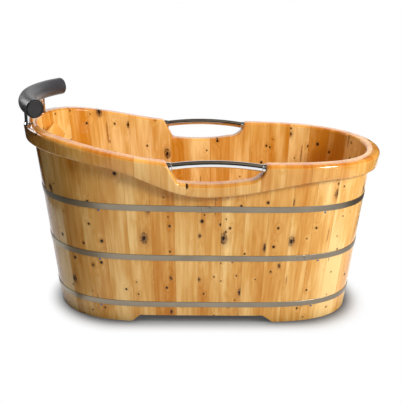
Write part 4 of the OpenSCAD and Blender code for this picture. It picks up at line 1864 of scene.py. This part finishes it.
    def base_profile(self) -> Outline:
        """Radii and heights of a base, stepped and domed, with its spigot.

        Returns:
            The profile from the bottom up.
        """
        r = self.base_r
        h = self.base_h
        post = self.post_r
        spigot = post - self.post_wall - self.post_play
        bottom = self.shape.head_rim_h + self.shape.seat_gap
        rows = [(r - 0.4, 0), (r, 0.5), (r, 2.4), (r - 0.7, 3.3), (r - 2.4, 4.2)]
        rows += [(post + 1.6, 5.4), (post + 0.9, 6.3), (post, h)]
        rows += [(spigot, h), (spigot, h + self.spigot_h - 2), (spigot - 2, h + self.spigot_h)]
        return [(q, bottom + z) for q, z in rows]

    def build(self, finishes: Finishes) -> list[Object]:
        """Builds the headrest's pieces.

        Args:
            finishes: the materials.

        Returns:
            The pieces.
        """
        posts = MeshBuffer()
        bases = MeshBuffer()
        for y in (-self.post_span / 2, self.post_span / 2):
            centre = self.place(Vector((0, y, 0)))
            posts.turn(centre, self.post_profile(), self.post_sides)
            bases.turn(centre, self.base_profile(), self.post_sides)
        piece = Piece("headrest_roll", "headrest", smooth=60)
        obj = piece.build(self.roll(), finishes.foam, Slot.FOAM, ["headrest_foam", "headrest_core"])
        caps = Piece("headrest_end_caps", "headrest")
        pair = Piece("headrest_post_pair", "headrest")
        return [
            obj,
            caps.build(self.caps(), finishes.cap, Slot.CAP, ["headrest_caps"]),
            pair.build(posts, finishes.chrome, Slot.CHROME, ["headrest_posts"]),
            Piece("headrest_base_pair").build(bases, finishes.chrome, Slot.CHROME, ["headrest_bases"]),
        ]


@dataclass
class CarriedOver:
    """CAD nodes that stay as they are and get a finish and softened edges, in metres.

    Attributes:
        board_edge: rounding of the sloping board and its cleats.
        plug_edge: rounding of the drain plug.
        edge_steps: number of segments of a rounding.
        edge_angle: least angle, in degrees, that is rounded.
    """

    board_edge: float = 0.002
    plug_edge: float = 0.001
    edge_steps: int = 3
    edge_angle: float = 40

    def dress(self, names: list[str], material: Material, bevel: float = 0.0) -> list[Object]:
        """Gives CAD nodes a material and, where asked, rounded edges.

        Args:
            names: the nodes.
            material: their finish.
            bevel: width of the rounding.

        Returns:
            The nodes.
        """
        nodes = [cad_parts[name] for name in names]
        for obj in nodes:
            for item in obj.material_slots:
                item.material = material
            if bevel:
                mod = obj.modifiers.new("soft_edges", "BEVEL")
                mod.width = bevel
                mod.segments = self.edge_steps
                mod.limit_method = "ANGLE"
                mod.angle_limit = math.radians(self.edge_angle)
        return nodes

    def build(self, finishes: Finishes) -> list[Object]:
        """Dresses every node that isn't replaced, and the tube hidden in the roll.

        Args:
            finishes: the materials.

        Returns:
            The nodes.
        """
        nodes = self.dress(["floor_boards"], finishes.board)
        nodes += self.dress(["floor_bearers"], finishes.bearer)
        nodes += self.dress(["back_board", "back_board_cleats"], finishes.bearer, self.board_edge)
        nodes += self.dress(["headrest_core"], finishes.tube)
        nodes += self.dress(["drain_body", "drain_nut"], finishes.brass)
        nodes += self.dress(["drain_seal"], finishes.seal)
        return nodes + self.dress(["drain_plug"], finishes.chrome, self.plug_edge)


def sheet(name: str, corners: list[Point]) -> tuple[Object, Graph]:
    """Lays a flat studio sheet with a material of its own.

    Args:
        name: its name.
        corners: its corners in order, in metres.

    Returns:
        The object, and its material's graph.
    """
    mesh = bpy.data.meshes.new(name)
    mesh.from_pydata(corners, [], [list(range(len(corners)))])
    obj = bpy.data.objects.new(name, mesh)
    bpy.context.scene.collection.objects.link(obj)
    g = Graph(bpy.data.materials.new(name))
    mesh.materials.append(g.owner)
    return obj, g


def level(places: list[Pair], z: float) -> list[Point]:
    """Corners of a level sheet over places on the floor, at one height."""
    return [(x, y, z) for x, y in places]


def upright(start: Pair, end: Pair, low: float, high: float) -> list[Point]:
    """Corners of an upright sheet between two places on the floor and two heights."""
    return [(*start, low), (*end, low), (*end, high), (*start, high)]


@dataclass(frozen=True)
class Lamp:
    """A soft area lamp.

    Attributes:
        name: its name.
        at: where it stands, in metres.
        aim: the point it faces.
        size: its width and height.
        power: its power in watts.
        mirrored: whether reflections show it.
        lights: whether it lights matt surfaces too.
    """

    name: str
    at: Point
    aim: Point
    size: Pair
    power: float
    mirrored: bool = True
    lights: bool = True

    def build(self) -> None:
        """Adds the lamp to the scene."""
        data = bpy.data.lights.new(self.name, "AREA")
        data.shape = "RECTANGLE"
        data.size, data.size_y = self.size
        data.energy = self.power
        obj = bpy.data.objects.new(self.name, data)
        obj.location = self.at
        obj.rotation_euler = (Vector(self.aim) - Vector(self.at)).to_track_quat("-Z", "Y").to_euler()
        obj.visible_glossy = self.mirrored
        obj.visible_diffuse = self.lights
        bpy.context.scene.collection.objects.link(obj)


@dataclass(frozen=True)
class Card:
    """A card that the camera doesn't see, but reflections do.

    Attributes:
        name: its name.
        corners: its corners in order, in metres.
        shade: its colour.
        blocks: whether it keeps soft light off the tub too.
    """

    name: str
    corners: list[Point]
    shade: Colour
    blocks: bool = False

    def build(self) -> None:
        """Hangs the card in the scene."""
        obj, g = sheet(self.name, self.corners)
        g.surface({"Base Color": (*self.shade, 1), "Roughness": 1.0, "Specular IOR Level": 0.0})
        obj.visible_camera = False
        obj.visible_diffuse = self.blocks
        obj.visible_shadow = self.blocks


@dataclass
class Studio:
    """Pale floor, white surround, soft lights and the camera, in metres and radians.

    Attributes:
        place: where the camera stands.
        yaw: how far it looks to the right of straight ahead.
        pitch: how far it looks down.
        roll: how far it leans.
        lens: its focal length, in millimetres.
        sensor: width of its picture behind the lens, in millimetres.
        shift: how far that picture is shifted, as shares of the width.
        sight: how far it sees.
        floor_half: half the width of the floor.
        floor_drop: how far the floor lies below the object.
        pool_x: middle of the shaded pool round the tub.
        pool_half_l: half the length of the line that the pool lies round.
        pool_near: distance from that line at which the pool starts to fade.
        pool_far: distance at which it is gone.
        contact: reach of the dark contact shadow painted into the floor's colour.
        painted_shadow_tone: the floor's colour right under the object, where its painted contact shadow is
            darkest.
        open_tone: its tone in the open.
        fill: share of white glow shown within the pool, painted light that lifts the shadow there.
        soft_light: strength of the light from all round.
        ceiling: height of the dark ceiling.
        room_half: half the width of the ceiling and of the wall behind the camera.
        room_near: place of that wall across the tub.
        room_far: far edge of the ceiling.
        wall_foot: height of that wall's lower edge.
        head_card_x: place of the card past the head end.
        foot_card_x: place of the card past the foot end.
        card_lift: height of the cards that lie on the floor.
    """

    place: Point = (-0.2146, -2.5313, 1.505)
    yaw: float = 0.0538
    pitch: float = 0.3878
    roll: float = 0.0346
    lens: float = 53.33
    sensor: float = 36
    shift: Pair = (0.0428, 0.0018)
    sight: float = 60
    floor_half: float = 12
    floor_drop: float = 0.0005
    pool_x: float = 0.055
    pool_half_l: float = 0.415
    pool_near: float = 0.25
    pool_far: float = 0.365
    contact: float = 0.11
    painted_shadow_tone: float = 0.05
    open_tone: float = 0.72
    fill: float = 0.07
    soft_light: float = 0.2
    ceiling: float = 4.2
    room_half: float = 7
    room_near: float = -6
    room_far: float = 5
    wall_foot: float = 0.9
    head_card_x: float = -1.5
    foot_card_x: float = 2.3
    card_lift: float = 0.004

    def camera(self) -> None:
        """Sets the camera to the photograph's view."""
        level = math.cos(self.pitch)
        ahead = Vector((math.sin(self.yaw) * level, math.cos(self.yaw) * level, -math.sin(self.pitch)))
        right = Vector((math.cos(self.yaw), -math.sin(self.yaw), 0))
        up = right.cross(ahead)
        leant_right = math.cos(self.roll) * right + math.sin(self.roll) * up
        leant_up = -math.sin(self.roll) * right + math.cos(self.roll) * up
        data = bpy.data.cameras.new("view")
        data.lens = self.lens
        data.sensor_width = self.sensor
        data.shift_x, data.shift_y = self.shift
        data.clip_end = self.sight
        obj = bpy.data.objects.new("view", data)
        turned = Matrix((leant_right, leant_up, -ahead)).transposed().to_4x4()
        obj.matrix_world = Matrix.Translation(self.place) @ turned
        bpy.context.scene.collection.objects.link(obj)
        bpy.context.scene.camera = obj

    def floor(self) -> None:
        """Lays the pale floor, which keeps the tub's shadow in a pool, adds a painted contact shadow to its
        colour, and is white beyond it.
        """
        half = self.floor_half
        low = min(0.0, cad_box[0][2]) - self.floor_drop
        corners = [(-half, -half), (half, -half), (half, half), (-half, half)]
        obj, g = sheet("studio_floor", level(corners, low))
        where = g.node("ShaderNodeTexCoord")
        x, y, _ = g.node("ShaderNodeSeparateXYZ", Vector=where.outputs["Object"]).outputs
        centred = g.math("ABSOLUTE", g.math("SUBTRACT", x, self.pool_x))
        beyond = g.math("MAXIMUM", g.math("SUBTRACT", centred, self.pool_half_l), 0.0)
        flat = g.node("ShaderNodeCombineXYZ", X=beyond, Y=y, Z=0.0)
        away = g.node("ShaderNodeVectorMath", operation="LENGTH", in_0=flat.outputs[0])
        # Within the pool a little white glow still shows: painted light that lifts the darkest shadow under
        # and beside the tub.
        fade = g.node("ShaderNodeMapRange", interpolation_type="SMOOTHSTEP", Value=away.outputs["Value"],
                      From_Min=self.pool_near, From_Max=self.pool_far, To_Min=self.fill, To_Max=1.0)
        bright = g.node("ShaderNodeEmission", Color=(1, 1, 1, 1), Strength=1.0)
        mix = g.node("ShaderNodeMixShader", in_0=g.math("MULTIPLY", fade.outputs[0], g.shown()),
                     in_1=g.main.outputs[0], in_2=bright.outputs[0])
        g.tree.links.new(mix.outputs[0], g.tree.nodes["Material Output"].inputs["Surface"])
        # The floor's colour darkens where the tub hides the sky close by: a painted contact shadow on top
        # of the real one.
        open_sky = g.node("ShaderNodeAmbientOcclusion", Distance=self.contact).outputs["AO"]
        g.surface({
            "Base Color": g.span(open_sky, 0.5, 0.95, self.painted_shadow_tone, self.open_tone),
            "Roughness": 0.9,
            "Specular IOR Level": 0.1,
        })

    def surround(self) -> None:
        """Lights the whole scene softly and shows white behind it."""
        world = bpy.data.worlds.new("surround")
        bpy.context.scene.world = world
        g = Graph(world)
        white = (1, 1, 1, 1)
        soft = g.node("ShaderNodeBackground", Color=white, Strength=self.soft_light)
        bright = g.node("ShaderNodeBackground", Color=white, Strength=1.0)
        mix = g.node("ShaderNodeMixShader", in_0=g.shown(), in_1=soft.outputs[0], in_2=bright.outputs[0])
        g.tree.links.new(mix.outputs[0], g.tree.nodes["World Output"].inputs["Surface"])

    def cards(self) -> list[Card]:
        """Cards that give the varnish and chrome something dark to mirror.

        Returns:
            The cards.
        """
        wide = self.room_half
        near = self.room_near
        far = self.room_far
        high = self.ceiling
        head = self.head_card_x
        foot = self.foot_card_x
        above = level([(-wide, near), (wide, near), (wide, far), (-wide, far)], high)
        behind_view = upright((-wide, near), (wide, near), self.wall_foot, high)
        past_head = upright((head, -2.3), (head, 3), 0, 2.4)
        past_foot = upright((foot, -1.6), (foot, 4), 0, 2.6)
        by_head = [(head, -2.3), (-1.0, -2.3), (-0.95, -1.0), (-0.62, -0.55), (-0.62, -0.2), (head, -0.2)]
        by_foot = [(1.30, -0.30), (foot, -0.55), (foot, 1.2), (1.30, 1.2)]
        return [
            Card("dark_ceiling", above, (0.20, 0.165, 0.12)),
            Card("dark_wall", behind_view, (0.02, 0.02, 0.02)),
            Card("dark_head_side", past_head, (0.03, 0.03, 0.03), blocks=True),
            Card("dark_foot_side", past_foot, (0.05, 0.05, 0.05)),
            Card("dim_floor_head", level(by_head, self.card_lift), (0.46, 0.42, 0.36)),
            Card("dim_floor_foot", level(by_foot, self.card_lift), (0.22, 0.20, 0.18)),
        ]

    def lamps(self) -> list[Lamp]:
        """Lamps: the key from the foot end, a glint on the head rim, and soft light from above.

        Returns:
            The lamps.
        """
        return [
            Lamp("key", (3.2, -2.6, 3.0), (0.1, 0, 0.4), (1.3, 1.3), 205),
            Lamp("glint", (-1.45, 0.18, 1.30), (-0.7, -0.15, 0.85), (0.75, 0.42), 6, lights=False),
            Lamp("top", (0.2, -0.1, 3.2), (0, 0, 0.3), (2.4, 1.2), 55, mirrored=False),
        ]

    def build(self) -> None:
        """Builds the whole studio."""
        self.camera()
        self.floor()
        self.surround()
        for item in self.cards() + self.lamps():
            item.build()
        bpy.context.scene.view_settings.view_transform = "Standard"


def main() -> None:
    """Builds each sub-assembly in turn, then the studio."""
    logging.basicConfig(level=logging.INFO)
    shape = TubShape()
    finishes = Finishes()
    parts = [
        StaveWall(shape),
        RimCollar(shape),
        Hoops(shape),
        GrabBars(shape),
        Headrest(shape),
        CarriedOver(),
    ]
    for part in parts:
        for obj in part.build(finishes):
            log.info("%s: %s", type(part).__name__, obj.name)
    Studio().build()


if __name__ == "__main__":
    main()
